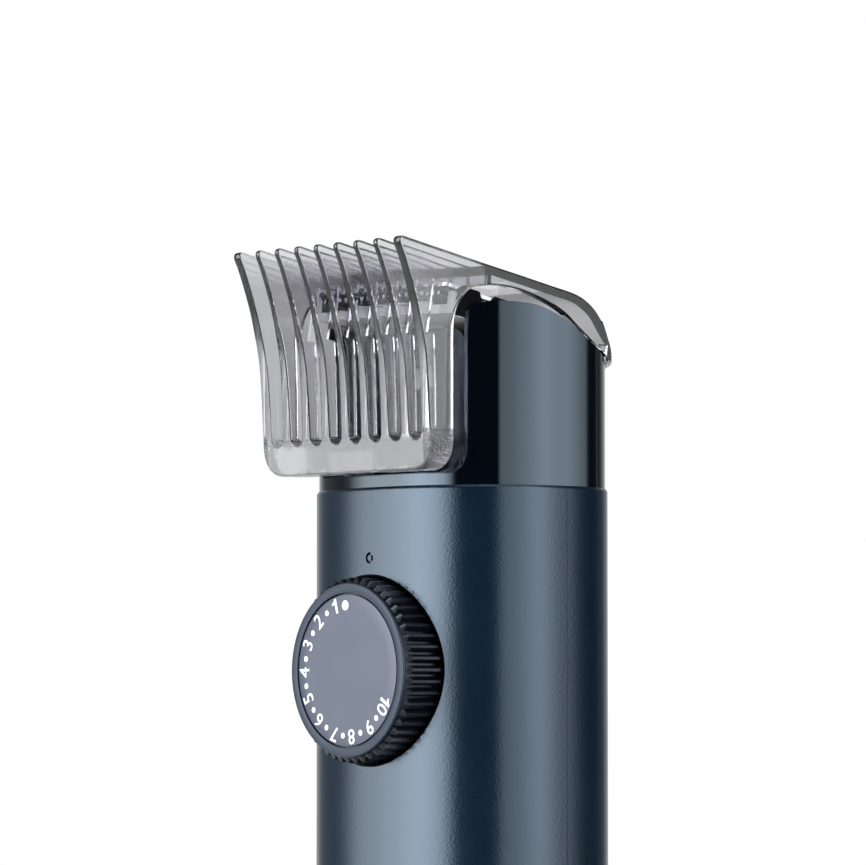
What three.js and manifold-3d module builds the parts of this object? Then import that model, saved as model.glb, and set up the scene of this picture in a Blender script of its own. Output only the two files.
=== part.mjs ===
// Cordless hair clipper with a dial-set guide comb.
// Millimetres, +Z up. Origin at the centre of the flat base. -Y is the front
// (dial, button and comb face), +X is the right side seen from the front.

import * as THREE from 'three';
import { mergeVertices } from 'three/addons/utils/BufferGeometryUtils.js';
import Module from 'manifold-3d';

const wasm = await Module();
wasm.setup();

// ---------------------------------------------------------------- dimensions
const BODY_A = 20.0;          // half width of the oval grip
const BODY_B = 15.7;          // half depth of the oval grip
const OVAL_N = 2.5;           // superellipse exponent of every oval section
const WALL = 1.6;             // shell wall
const Z_RIM = 130.0;          // top edge of the grip shells
const BASE_H = 6.0;           // height of the base cap
const SEAM_Y = 0.4;           // parting plane between the two shells
const GAP = 0.3;              // gap between touching pieces

const HEAD_A = 19.6;          // half width of the head collar
const HEAD_B = 15.3;          // half depth of the head collar
const HEAD_WALL = 1.4;
const PANEL_HALF = 14.4;      // half width of the flat front recess
const SHELF_Z = Z_RIM + 1.5;  // floor of the front recess

const DIAL_Z = 106.35;        // dial axis height
const DIAL_R = 11.9;          // over the knurls
const DIAL_WELL_R = 12.36;    // well in the front shell
const DIAL_FACE_Y = -19.5;    // plane of the dial face
const DIAL_RIBS = 48;
const PINION_TEETH = 12;
const PINION_MODULE = 0.4;    // pitch radius 2.4, so 10 mm of lift in 239 degrees
const LIFT = 10.0;

const BUTTON_Z = 62.0;
const BUTTON_R = 6.0;
const LIGHT_Z = 49.0;

const MOTOR_Y = 3.0;
const MOTOR_R = 10.0;
const MOTOR_FLAT = 7.5;
const MOTOR_Z0 = 108.0;
const MOTOR_Z1 = 134.0;
const ECC = 0.8;              // throw of the eccentric pin
const STROKE = 0.9;           // blade travel to each side

const BATTERY_R = 7.1;
const BATTERY_Y = 3.5;
const BATTERY_Z0 = 24.0;
const BATTERY_Z1 = 74.0;

const BLADE_TILT = -11.0 * Math.PI / 180;   // the blade plane rises to the front
const BLADE_Y = -10.5;
const BLADE_Z = Z_RIM + 24.0;
const BLADE_HALF = 14.2;
const TOOTH_PITCH = 1.5;

const COMB_HALF = 16.7;       // half width of the comb
const FIN_PITCH = 3.93;
const SLOT_W = 2.2;
const COMB_WALL = 1.2;

// ------------------------------------------------------------------ materials
const mat = (color, roughness, metalness = 0, extra = {}) =>
  new THREE.MeshStandardMaterial({ color, roughness, metalness, ...extra });
const M = {
  shell: mat(0x2a4560, 0.55),
  head: mat(0x16273b, 0.15),
  dark: mat(0x0e1116, 0.4),
  dialFace: mat(0x83858f, 0.45),
  comb: mat(0x8d8f93, 0.12, 0, { transparent: true, opacity: 0.6 }),
  steel: mat(0xc8ccd0, 0.3, 1.0),
  blackPlastic: mat(0x15161a, 0.5),
  acetal: mat(0xe6e3da, 0.5),
  motor: mat(0xa9adb3, 0.35, 1.0),
  board: mat(0x1d5b3a, 0.6),
  cell: mat(0x3f7f4e, 0.5),
  nickel: mat(0xbdb9ad, 0.35, 1.0),
  light: mat(0xe8eef2, 0.2),
};

// -------------------------------------------------------------------- helpers
function strip(geometry) {
  const g = geometry.index ? geometry.toNonIndexed() : geometry.clone();
  for (const k of Object.keys(g.attributes)) if (k !== 'position') g.deleteAttribute(k);
  return mergeVertices(g, 1e-4);
}
function signedVolume(g) {
  const p = g.attributes.position.array, ix = g.index.array;
  let v = 0;
  for (let i = 0; i < ix.length; i += 3) {
    const a = ix[i] * 3, b = ix[i + 1] * 3, c = ix[i + 2] * 3;
    v += p[a] * (p[b + 1] * p[c + 2] - p[b + 2] * p[c + 1])
       - p[a + 1] * (p[b] * p[c + 2] - p[b + 2] * p[c])
       + p[a + 2] * (p[b] * p[c + 1] - p[b + 1] * p[c]);
  }
  return v / 6;
}
function solid(geometry) {
  const g = strip(geometry);
  const out = [];
  const ix = g.index.array;
  for (let i = 0; i < ix.length; i += 3) {
    if (ix[i] !== ix[i + 1] && ix[i + 1] !== ix[i + 2] && ix[i] !== ix[i + 2]) {
      out.push(ix[i], ix[i + 1], ix[i + 2]);
    }
  }
  g.setIndex(out);
  if (signedVolume(g) < 0) {
    for (let i = 0; i < out.length; i += 3) { const t = out[i + 1]; out[i + 1] = out[i + 2]; out[i + 2] = t; }
    g.setIndex(out);
  }
  return new wasm.Manifold(new wasm.Mesh({
    numProp: 3,
    vertProperties: new Float32Array(g.attributes.position.array),
    triVerts: new Uint32Array(g.index.array),
  }));
}
function geometryOf(manifold) {
  const m = manifold.getMesh();
  const g = new THREE.BufferGeometry();
  const pos = new Float32Array(m.numVert * 3);
  for (let i = 0; i < m.numVert; i++) {
    for (let k = 0; k < 3; k++) pos[3 * i + k] = m.vertProperties[m.numProp * i + k];
  }
  g.setAttribute('position', new THREE.BufferAttribute(pos, 3));
  g.setIndex(Array.from(m.triVerts));
  g.computeVertexNormals();
  return g;
}
const join = (...s) => s.reduce((a, b) => a.add(b));
const cut = (a, ...s) => s.reduce((x, b) => x.subtract(b), a);

function shapeOf(points) {
  const s = new THREE.Shape();
  points.forEach(([x, y], i) => (i ? s.lineTo(x, y) : s.moveTo(x, y)));
  s.closePath();
  return s;
}
function extrude(points, depth) {
  return new THREE.ExtrudeGeometry(shapeOf(points), { depth, bevelEnabled: false, curveSegments: 12 });
}
// outline in X,Y pushed along Z
function prismZ(points, z0, z1) {
  const g = extrude(points, z1 - z0);
  g.translate(0, 0, z0);
  return solid(g);
}
// outline in Y,Z pushed along X
function prismX(points, x0, x1) {
  const g = extrude(points, x1 - x0);
  g.applyMatrix4(new THREE.Matrix4().makeBasis(
    new THREE.Vector3(0, 1, 0), new THREE.Vector3(0, 0, 1), new THREE.Vector3(1, 0, 0)));
  g.translate(x0, 0, 0);
  return solid(g);
}
// outline in X,Z pushed along Y
function prismY(points, y0, y1) {
  const g = extrude(points, y1 - y0);
  g.applyMatrix4(new THREE.Matrix4().makeBasis(
    new THREE.Vector3(1, 0, 0), new THREE.Vector3(0, 0, 1), new THREE.Vector3(0, -1, 0)));
  g.translate(0, y1, 0);
  return solid(g);
}
function box(x0, x1, y0, y1, z0, z1) {
  const g = new THREE.BoxGeometry(x1 - x0, y1 - y0, z1 - z0);
  g.translate((x0 + x1) / 2, (y0 + y1) / 2, (z0 + z1) / 2);
  return solid(g);
}
function rodZ(r, z0, z1, x = 0, y = 0, seg = 24) {
  const g = new THREE.CylinderGeometry(r, r, z1 - z0, seg);
  g.rotateX(Math.PI / 2);
  g.translate(x, y, (z0 + z1) / 2);
  return solid(g);
}
function rodY(r, y0, y1, x = 0, z = 0, seg = 24) {
  const g = new THREE.CylinderGeometry(r, r, y1 - y0, seg);
  g.translate(x, (y0 + y1) / 2, z);
  return solid(g);
}
function oval(a, b, seg = 48, n = OVAL_N) {
  const pts = [];
  for (let i = 0; i < seg; i++) {
    const t = 2 * Math.PI * i / seg;
    const c = Math.cos(t), s = Math.sin(t);
    pts.push([a * Math.sign(c) * Math.abs(c) ** (2 / n), b * Math.sign(s) * Math.abs(s) ** (2 / n)]);
  }
  return pts;
}
// rectangle with rounded corners, centred at (cx, cy)
function roundRect(cx, cy, hx, hy, r, seg = 4) {
  const pts = [];
  for (const [sx, sy, a0] of [[1, 1, 0], [-1, 1, 90], [-1, -1, 180], [1, -1, 270]]) {
    for (let i = 0; i <= seg; i++) {
      const a = (a0 + 90 * i / seg) * Math.PI / 180;
      pts.push([cx + sx * (hx - r) + r * Math.cos(a), cy + sy * (hy - r) + r * Math.sin(a)]);
    }
  }
  return pts;
}
// revolve a closed outline (radius, height) about Z
function lathe(points, seg = 48) {
  const pts = points.map(([r, h]) => new THREE.Vector2(r, h));
  if (pts[0].x > 0) pts.push(pts[0].clone());
  const g = new THREE.LatheGeometry(pts, seg);
  g.rotateX(Math.PI / 2);
  return g;
}

const clipper = new THREE.Group();
function add(name, manifoldOrGeometry, material, parent = clipper) {
  const g = manifoldOrGeometry.isBufferGeometry ? manifoldOrGeometry : geometryOf(manifoldOrGeometry);
  const mesh = new THREE.Mesh(g, material);
  mesh.name = name;
  parent.add(mesh);
  return mesh;
}

// ------------------------------------------------------------------- the grip
const shellTube = cut(
  prismZ(oval(BODY_A, BODY_B), BASE_H + GAP, Z_RIM),
  prismZ(oval(BODY_A - WALL, BODY_B - WALL), BASE_H, Z_RIM + 1));
const bodyFill = prismZ(oval(BODY_A - 0.05, BODY_B - 0.05), BASE_H + GAP, Z_RIM);

// front shell: half tube with the dial well, the button hole and the light hole
const wellBlock = rodY(DIAL_WELL_R + 1.1, -16.5, -10.0, 0, DIAL_Z, 40).intersect(bodyFill);
const buttonGuide = cut(
  rodY(BUTTON_R + 1.2, -16.5, -12.9, 0, BUTTON_Z, 28).intersect(bodyFill),
  rodY(BUTTON_R + GAP, -17, -12, 0, BUTTON_Z, 28));
let frontShell = shellTube.intersect(box(-30, 30, -30, SEAM_Y - GAP / 2, 0, 140));
frontShell = join(frontShell, wellBlock);
frontShell = cut(frontShell,
  rodY(DIAL_WELL_R, -17, -11.2, 0, DIAL_Z, 48),
  rodY(2.9, -12, -9, 0, DIAL_Z, 20),
  rodY(BUTTON_R + GAP, -17, -10, 0, BUTTON_Z, 28),
  rodY(1.5, -17, -10, 0, LIGHT_Z, 16));
frontShell = join(frontShell, buttonGuide);
add('front_shell', frontShell, M.shell);

// rear shell: half tube with two screw posts and the charging port window
const postX = 12.0, postZ = 84.0;
let rearShell = shellTube.intersect(box(-30, 30, SEAM_Y + GAP / 2, 30, 0, 140));
for (const s of [-1, 1]) {
  rearShell = join(rearShell, rodY(2.4, -4.6, 13.5, s * postX, postZ, 16).intersect(bodyFill));
  rearShell = cut(rearShell, rodY(1.1, -5, 4.0, s * postX, postZ, 12));
}
rearShell = cut(rearShell, prismY(roundRect(0, 16.1, 4.8, 1.95, 1.9), 10, 18));
add('rear_shell', rearShell, M.shell);

// base cap: a flat-footed plug with a spigot inside the shells
const basePuck = (() => {
  const layers = [[1.2, 0], [0.35, 0.35], [0, 1.2], [0, BASE_H]];
  let s = null;
  for (let i = 0; i + 1 < layers.length; i++) {
    const [o0, z0] = layers[i], [o1, z1] = layers[i + 1];
    const a = oval(BODY_A - o0, BODY_B - o0), b = oval(BODY_A - o1, BODY_B - o1);
    const n = a.length, pos = [], idx = [];
    a.forEach(([x, y]) => pos.push(x, y, z0));
    b.forEach(([x, y]) => pos.push(x, y, z1));
    pos.push(0, 0, z0, 0, 0, z1);
    for (let k = 0; k < n; k++) {
      const j = (k + 1) % n;
      idx.push(k, j, n + j, k, n + j, n + k, 2 * n, j, k, 2 * n + 1, n + k, n + j);
    }
    const g = new THREE.BufferGeometry();
    g.setAttribute('position', new THREE.Float32BufferAttribute(pos, 3));
    g.setIndex(idx);
    s = s ? s.add(solid(g)) : solid(g);
  }
  return s;
})();
const baseSpigot = cut(
  prismZ(oval(BODY_A - WALL - GAP, BODY_B - WALL - GAP), BASE_H - 1, 10),
  prismZ(oval(BODY_A - WALL - 1.8, BODY_B - WALL - 1.8), 2.2, 11));
add('base_cap', join(cut(basePuck, prismZ(oval(BODY_A - WALL - 1.8, BODY_B - WALL - 1.8), 2.2, 11)), baseSpigot), M.shell);

// -------------------------------------------------------------------- the head
// side outline of the head roof (Y, height above the rim), front to rear
const roof = [[-12.6, 20.6], [-12.0, 21.9], [-11.2, 22.75], [-10.2, 23.2], [-8.7, 23.3], [-4.5, 22.95],
  [-1.4, 22.0], [1.4, 20.75], [5.0, 18.8], [8.1, 17.45], [9.8, 16.7], [12.0, 15.8], [14.0, 15.1], [15.5, 14.7]];
const roofAt = (y) => {
  for (let i = 0; i + 1 < roof.length; i++) {
    if (y <= roof[i + 1][0]) {
      const [y0, z0] = roof[i], [y1, z1] = roof[i + 1];
      return z0 + (z1 - z0) * (y - y0) / (y1 - y0);
    }
  }
  return roof[roof.length - 1][1];
};
const headOutline = [[-16, -1], [16, -1], [16, roofAt(16)], ...[...roof].reverse(), [-12.7, 19.0], [-16, 19.0]]
  .map(([y, z]) => [y, z + Z_RIM]);
const innerOutline = [[-20, -10], [20, -10], [20, roofAt(16) - 1.4], ...[...roof].reverse().map(([y, z]) => [y, z - 1.5]), [-12.7, 17.6], [-20, 17.6]]
  .map(([y, z]) => [y, z + Z_RIM]);
let head = prismZ(oval(HEAD_A, HEAD_B), Z_RIM + GAP, Z_RIM + 26).intersect(prismX(headOutline, -25, 25));
head = head.subtract(prismZ(oval(HEAD_A - HEAD_WALL, HEAD_B - HEAD_WALL), Z_RIM - 1, Z_RIM + 26)
  .intersect(prismX(innerOutline, -25, 25)));
// spigot that seats the head inside the shells
const spigotA = BODY_A - WALL - GAP, spigotB = BODY_B - WALL - GAP;
head = head.add(cut(prismZ(oval(spigotA, spigotB), Z_RIM - 6, Z_RIM + 1.5),
  prismZ(oval(spigotA - 1.4, spigotB - 1.4), Z_RIM - 7, Z_RIM + 2)));
// flat front recess with rounded lower corners, and its floor
const shelf = prismZ(oval(HEAD_A, HEAD_B), Z_RIM + GAP, SHELF_Z).intersect(box(-30, 30, -16, -10.0, 120, 140));
head = head.add(shelf);
head = head.subtract(prismY(roundRect(0, SHELF_Z + 20, PANEL_HALF, 20, 3.0), -18, -9.8));
// front roof opening for the blade block and its driver
const openingBlock = (() => {
  const g = new THREE.BoxGeometry(2 * (BLADE_HALF + 0.35), 10.6, 12);
  g.translate(0, 1.2, 2.55);
  g.rotateX(BLADE_TILT);
  g.translate(0, BLADE_Y, BLADE_Z);
  return solid(g);
})();
head = cut(head, openingBlock, box(-6.5, 6.5, -10.5, -4.2, Z_RIM + 17, Z_RIM + 26));
add('head_housing', head, M.head);

// inset front panel with the vertical slot for the comb carriage
const panel = cut(
  prismY(roundRect(0, SHELF_Z + GAP + 9.1, PANEL_HALF - GAP, 9.1, 2.8), -11.3, -10.1),
  box(-4.4, 4.4, -12, -9, SHELF_Z, Z_RIM + 4.1 + LIFT + 0.6));
add('head_front_panel', panel, M.head);

// ------------------------------------------------------------------ the chassis
const motorOutline = (grow) => {
  const pts = [];
  for (let i = 0; i < 48; i++) {
    const t = 2 * Math.PI * (i + 0.5) / 48;
    const x = (MOTOR_R + grow) * Math.cos(t);
    const y = Math.max(-(MOTOR_FLAT + grow), Math.min(MOTOR_FLAT + grow, (MOTOR_R + grow) * Math.sin(t)));
    pts.push([x, MOTOR_Y + y]);
  }
  return pts;
};
let chassis = box(-13.6, 13.6, -6.3, -5.0, 18, 126);
for (const z of [30, 66]) chassis = join(chassis, box(-9.5, 9.5, -5.5, 1.0, z, z + 3));
for (const z of [112, 120]) chassis = join(chassis, box(-12.6, 12.6, -5.5, 1.5, z, z + 3));
chassis = cut(chassis,
  rodZ(BATTERY_R + GAP, 20, 78, 0, BATTERY_Y, 32),
  prismZ(motorOutline(GAP), 100, 130),
  rodY(1.6, -8, -4, 0, DIAL_Z, 16),
  rodY(1.25, -8, -4, -postX, postZ, 12), rodY(1.25, -8, -4, postX, postZ, 12));
add('chassis', chassis, M.blackPlastic);
for (const [side, s] of [['left', -1], ['right', 1]]) {
  const screw = cut(
    join(rodY(2.1, -7.8, -6.6, s * postX, postZ, 16), rodY(0.8, -6.7, 1.5, s * postX, postZ, 12)),
    box(s * postX - 1.2, s * postX + 1.2, -8.2, -7.3, postZ - 0.25, postZ + 0.25));
  add(`chassis_screw_${side}`, screw, M.steel);
}

// ------------------------------------------------------------ power and control
add('battery_cell', lathe([[0, BATTERY_Z0], [6.6, BATTERY_Z0], [BATTERY_R, BATTERY_Z0 + 0.5], [BATTERY_R, BATTERY_Z1 - 2.4],
  [6.7, BATTERY_Z1 - 1.9], [BATTERY_R - 0.1, BATTERY_Z1 - 1.5], [6.2, BATTERY_Z1 - 1.0], [2.8, BATTERY_Z1 - 1.0], [2.6, BATTERY_Z1], [0, BATTERY_Z1]], 32)
  .translate(0, BATTERY_Y, 0), M.cell);
clipper.children[clipper.children.length - 1].geometry = geometryOf(solid(clipper.children[clipper.children.length - 1].geometry));
// folded nickel tabs at both ends of the cell
add('battery_tab_top', join(box(-2, 2, -4.2, 6, BATTERY_Z1 + GAP, BATTERY_Z1 + GAP + 0.3),
  box(-2, 2, -4.2, -3.9, BATTERY_Z1 - 1.5, BATTERY_Z1 + GAP + 0.3)), M.nickel);
add('battery_tab_bottom', join(box(-2, 2, -4.2, 6, BATTERY_Z0 - GAP - 0.3, BATTERY_Z0 - GAP),
  box(-2, 2, -4.2, -3.9, BATTERY_Z0 - GAP - 0.3, BATTERY_Z0 + 1.5)), M.nickel);
add('circuit_board', cut(prismY(roundRect(0, 46, 9.5, 31, 1.0), -9.4, -7.9),
  rodY(1.1, -10, -7, -7.5, 74, 12), rodY(1.1, -10, -7, 7.5, 74, 12)), M.board);
add('tact_switch', join(box(-3, 3, -11.3, -9.7, BUTTON_Z - 3, BUTTON_Z + 3), rodY(1.6, -11.5, -11.2, 0, BUTTON_Z, 16)), M.dark);
add('status_light', join(rodY(1.2, -15.55, -11.6, 0, LIGHT_Z, 16), rodY(1.9, -12.4, -9.7, 0, LIGHT_Z, 16)), M.light);
add('charging_board', prismZ(roundRect(0, 3.5, 8, 9.0, 1.0), 12.7, 13.9), M.board);
add('charging_socket', join(
  cut(prismY(roundRect(0, 16.1, 4.47, 1.63, 1.6), 8.2, 15.1), prismY(roundRect(0, 16.1, 4.17, 1.33, 1.3), 9.4, 16)),
  box(-3.3, 3.3, 9.0, 14.2, 15.75, 16.45)), M.steel);

// power button: a domed round key in the front shell
const buttonGeo = lathe([[0, 0], [BUTTON_R - 1.2, -0.05], [BUTTON_R - 0.35, -0.3], [BUTTON_R, -0.8], [BUTTON_R, -2.6],
  [5.2, -2.6], [5.2, -1.7], [1.5, -1.7], [1.5, -3.7], [0, -3.7]], 32);
// lathe axis (+Z) turned to point out of the front
buttonGeo.rotateX(Math.PI / 2);
buttonGeo.translate(0, -16.2, BUTTON_Z);
add('power_button', solid(buttonGeo), M.shell);

// ----------------------------------------------------------------------- motor
let can = prismZ(motorOutline(0), MOTOR_Z0, MOTOR_Z1);
can = join(can, rodZ(3.0, MOTOR_Z1 - 0.5, MOTOR_Z1 + 1.4, 0, MOTOR_Y, 20));
can = cut(can, rodZ(1.3, 118, MOTOR_Z1 + 3, 0, MOTOR_Y, 16));
add('motor_can', can, M.motor);
add('motor_end_cap', join(prismZ(motorOutline(-0.6), MOTOR_Z0 - 2.4, MOTOR_Z0 - GAP),
  box(-6.2, -5.4, MOTOR_Y - 2, MOTOR_Y + 2, MOTOR_Z0 - 5, MOTOR_Z0 - 2), box(5.4, 6.2, MOTOR_Y - 2, MOTOR_Y + 2, MOTOR_Z0 - 5, MOTOR_Z0 - 2)), M.blackPlastic);
add('motor_bracket', cut(prismZ(roundRect(0, MOTOR_Y - 0.3, 11.5, 7.6, 2), MOTOR_Z1 + GAP, MOTOR_Z1 + 1.5),
  rodZ(3.3, MOTOR_Z1, MOTOR_Z1 + 3, 0, MOTOR_Y, 24)), M.blackPlastic);
add('motor_shaft', rodZ(1.0, 119, 140.0, 0, MOTOR_Y, 16), M.steel);
add('eccentric', join(
  cut(rodZ(3.4, 136.3, 140.6, 0, MOTOR_Y, 28), rodZ(1.3, 136, 140.2, 0, MOTOR_Y, 16)),
  rodZ(1.2, 140.4, 145.6, 0, MOTOR_Y + ECC, 16)), M.acetal);

// ------------------------------------------------------------------ blade block
const bladeBlock = new THREE.Group();
bladeBlock.position.set(0, BLADE_Y, BLADE_Z);
bladeBlock.rotation.x = BLADE_TILT;
clipper.add(bladeBlock);

let holder = box(-BLADE_HALF, BLADE_HALF, -3.8, 5.6, -3.2, -GAP);
holder = cut(holder, box(-13.2, 13.2, -5, 7, -2.0, 1), box(-5.4, 5.4, 0.5, 7, -5, 1));
for (const s of [-1, 1]) {
  holder = join(holder, rodZ(1.6, -2.6, -GAP, s * 9.5, 3.6, 16));
  holder = cut(holder, rodZ(1.0, -2.4, 1, s * 9.5, 3.6, 12));
}
add('blade_holder', holder, M.blackPlastic, bladeBlock);

let fixedBlade = prismZ(roundRect(0, 0.3, BLADE_HALF, 5.5, 0.8), 0, 0.5);
for (let i = -8; i <= 8; i++) {
  fixedBlade = cut(fixedBlade, box(i * TOOTH_PITCH - 0.375, i * TOOTH_PITCH + 0.375, -7, -2.2, -1, 2));
}
for (const s of [-1, 1]) fixedBlade = cut(fixedBlade, rodZ(1.1, -1, 2, s * 9.5, 3.6, 12));
add('fixed_blade', fixedBlade, M.steel, bladeBlock);

let movingBlade = join(box(-12, 12, -4.3, 1.2, -0.85, -0.35), box(-6, 6, 1.0, 4.6, -0.85, -0.35));
for (let i = -8; i < 8; i++) {
  const x = (i + 0.5) * TOOTH_PITCH;
  movingBlade = cut(movingBlade, box(x - 0.4, x + 0.4, -7, -2.4, -2, 1));
}
add('moving_blade', movingBlade, M.steel, bladeBlock);
add('blade_spring', join(box(-9, 9, -2.8, -1.4, -1.7, -1.3), box(-9, -8, -1.5, 0.2, -1.7, -1.3), box(8, 9, -1.5, 0.2, -1.7, -1.3)), M.steel, bladeBlock);
for (const [side, s] of [['left', -1], ['right', 1]]) {
  const screw = cut(join(rodZ(1.6, 0.8, 1.35, s * 9.5, 3.6, 16), rodZ(0.7, -2.0, 0.9, s * 9.5, 3.6, 12)),
    box(s * 9.5 - 0.9, s * 9.5 + 0.9, 3.45, 3.75, 1.1, 2));
  add(`blade_screw_${side}`, screw, M.steel, bladeBlock);
}
// driver: flange under the moving blade, web, and the fork round the eccentric pin
const flange = (() => {
  const g = new THREE.BoxGeometry(11, 3.0, 0.75);
  g.translate(0, 3.1, -1.525);
  g.rotateX(BLADE_TILT);
  g.translate(0, BLADE_Y, BLADE_Z);
  return solid(g);
})();
const slotHalf = 1.2 + ECC + STROKE + 0.1;
let driver = join(flange, box(-3.5, 3.5, -7.4, -5.9, 142.5, 151.6));
driver = join(driver, cut(box(-slotHalf - 2, slotHalf + 2, -7.4, 7.6, 142.5, 144.4), box(-slotHalf, slotHalf, -1.2, 9, 142, 145)));
add('blade_driver', driver, M.acetal);

// ------------------------------------------------------------------------ dial
const ribOutline = (() => {
  const pts = [];
  const step = 2 * Math.PI / DIAL_RIBS;
  for (let i = 0; i < DIAL_RIBS; i++) {
    const a = i * step;
    for (const [f, r] of [[-0.26, DIAL_R], [0.26, DIAL_R], [0.36, DIAL_R - 0.55], [0.64, DIAL_R - 0.55]]) {
      pts.push([r * Math.cos(a + f * step), DIAL_Z + r * Math.sin(a + f * step)]);
    }
  }
  return pts;
})();
// a cup of revolution about the dial axis, radius against Y
function turnedY(points, seg = 48) {
  const g = lathe(points.map(([r, y]) => [r, -y]), seg);   // axis +Z holds -Y
  g.rotateX(Math.PI / 2);                                    // +Z turns to -Y
  g.translate(0, 0, DIAL_Z);
  return solid(g);
}
let knob = prismY(ribOutline, -19.2, -12.0);
knob = knob.intersect(turnedY([[0, -19.2], [11.35, -19.2], [12.2, -18.3], [12.2, -11.5], [0, -11.5]], 48));
knob = cut(knob,
  turnedY([[0, -20], [11.38, -20], [11.38, -17.6], [0, -17.6]], 48),
  cut(rodY(10.4, -16.4, -11, 0, DIAL_Z, 40), rodY(3.6, -17, -10, 0, DIAL_Z, 20)));
knob = join(knob, rodY(2.6, -12.5, -10.1, 0, DIAL_Z, 20));
knob = cut(knob, rodY(2.2, -16.2, -9, 0, DIAL_Z, 20), rodY(1.0, -18, -15, 0, DIAL_Z, 12), rodY(2.3, -18, -16.55, 0, DIAL_Z, 16));
add('dial_knob', knob, M.dark);
add('dial_cap', turnedY([[0, DIAL_FACE_Y], [9.65, DIAL_FACE_Y], [9.75, DIAL_FACE_Y + 0.25], [9.9, DIAL_FACE_Y + 0.25], [10.0, DIAL_FACE_Y + 0.02],
  [10.9, DIAL_FACE_Y + 0.1], [11.08, DIAL_FACE_Y + 0.35], [11.08, -17.9], [0, -17.9]], 48), M.dialFace);
const pinionOutline = (() => {
  const pts = [];
  const rp = PINION_MODULE * PINION_TEETH / 2, step = 2 * Math.PI / PINION_TEETH;
  for (let i = 0; i < PINION_TEETH; i++) {
    const a = i * step;
    for (const [half, r] of [[-0.30, rp - 0.5], [-0.185, rp], [-0.09, rp + 0.34], [0.09, rp + 0.34], [0.185, rp], [0.30, rp - 0.5]]) {
      const th = a + half * step;
      pts.push([r * Math.cos(th), DIAL_Z + r * Math.sin(th)]);
    }
  }
  return pts;
})();
add('dial_pinion', cut(join(prismY(pinionOutline, -9.7, -7.0), rodY(1.9, -15.9, -9.5, 0, DIAL_Z, 20), rodY(1.3, -7.2, -5.1, 0, DIAL_Z, 16)),
  rodY(1.0, -17, -11.5, 0, DIAL_Z, 12)), M.acetal);
add('dial_screw', cut(join(rodY(2.0, -17.5, -16.85, 0, DIAL_Z, 16), rodY(0.7, -16.95, -12.2, 0, DIAL_Z, 12)),
  box(-1.1, 1.1, -18, -17.2, DIAL_Z - 0.2, DIAL_Z + 0.2)), M.steel);
// leaf that clicks over the ribs inside the knob
add('detent_spring', join(box(4.5, 9.2, -11.9, -11.5, DIAL_Z - 1.4, DIAL_Z + 1.4),
  prismX([[-11.9, DIAL_Z - 0.7], [-11.6, DIAL_Z - 0.7], [-11.6, DIAL_Z + 0.7], [-11.9, DIAL_Z + 0.7], [-12.9, DIAL_Z + 0.2], [-12.9, DIAL_Z - 0.2]], 7.6, 9.2)), M.steel);

// ---------------------------------------------------------------- comb carriage
const pitch = Math.PI * PINION_MODULE;
const rackX = -PINION_MODULE * PINION_TEETH / 2;
let carriage = join(box(-7.2, rackX - 0.5, -9.6, -7.0, 91, 115), box(-7.2, rackX - 0.5, -9.6, -8.0, 114, 133));
for (let k = -10; k <= 1; k++) {
  const z = DIAL_Z + (k + 0.5) * pitch;
  const t = [[rackX - 0.8, z - 0.30], [rackX - 0.5, z - 0.30], [rackX, z - 0.19], [rackX + 0.32, z - 0.09],
    [rackX + 0.32, z + 0.09], [rackX, z + 0.19], [rackX - 0.5, z + 0.30], [rackX - 0.8, z + 0.30]];
  carriage = carriage.add(prismY(t, -9.6, -7.0));
}
carriage = join(carriage, box(-7.2, 4.0, -9.6, -8.0, Z_RIM + 2.0, Z_RIM + 4.1), box(-4.0, 4.0, -17.5, -8.0, Z_RIM + 2.0, Z_RIM + 4.1));
add('comb_carriage', carriage, M.blackPlastic);

// ------------------------------------------------------------------ guide comb
const rim = (pts) => pts.map(([y, z]) => [y, z + Z_RIM]);
const combFront = [[-19.6, 1.6], [-19.75, 5.4], [-20.1, 11.3], [-20.4, 15.2], [-20.8, 17.8], [-21.4, 20.4], [-22.1, 23.05],
  [-23.0, 25.65], [-24.05, 28.3], [-24.75, 29.6], [-24.95, 30.2], [-24.7, 30.65], [-24.1, 30.75]];
const combTop = [[-19.5, 29.8], [-10.0, 27.9], [-5.3, 27.0], [0.95, 25.75], [4.7, 25.0], [6.8, 24.2], [8.5, 23.0], [9.8, 21.5]];
const combRear = [[11.4, 19.9], [13.2, 18.6], [15.0, 17.5], [16.3, 16.9]];
const combArch = [[10.6, 16.95], [9.2, 17.95], [7.1, 19.5], [5.0, 21.0], [2.9, 22.5], [-0.2, 23.8], [-3.4, 24.7], [-6.4, 25.2], [-10.5, 25.25], [-12.0, 25.0],
  [-13.4, 24.3], [-14.7, 22.9], [-15.5, 21.1], [-15.8, 19.1], [-15.8, 1.6]];
let comb = prismX(rim([...combFront, ...combTop, [11.4, 19.9], ...combArch]), -COMB_HALF, COMB_HALF);
// large rounded lower corners of the front plate
comb = comb.intersect(join(
  prismY(roundRect(0, Z_RIM + 1.6 + 20, COMB_HALF, 20, 3.4, 6), -30, 20)));
// hollow behind the fins: only the roof and the two side walls remain
const roofUnder = rim([[-9.0, 20], [-9.0, 26.6], [-5.3, 25.9], [0.95, 24.65], [4.7, 23.9], [6.5, 23.1], [8.0, 22.0], [9.0, 20.7], [10.4, 18.9], [12.5, 17.2], [12.5, 10], [-9.0, 10]]);
comb = comb.subtract(prismX(roofUnder, -(COMB_HALF - COMB_WALL), COMB_HALF - COMB_WALL));
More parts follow.
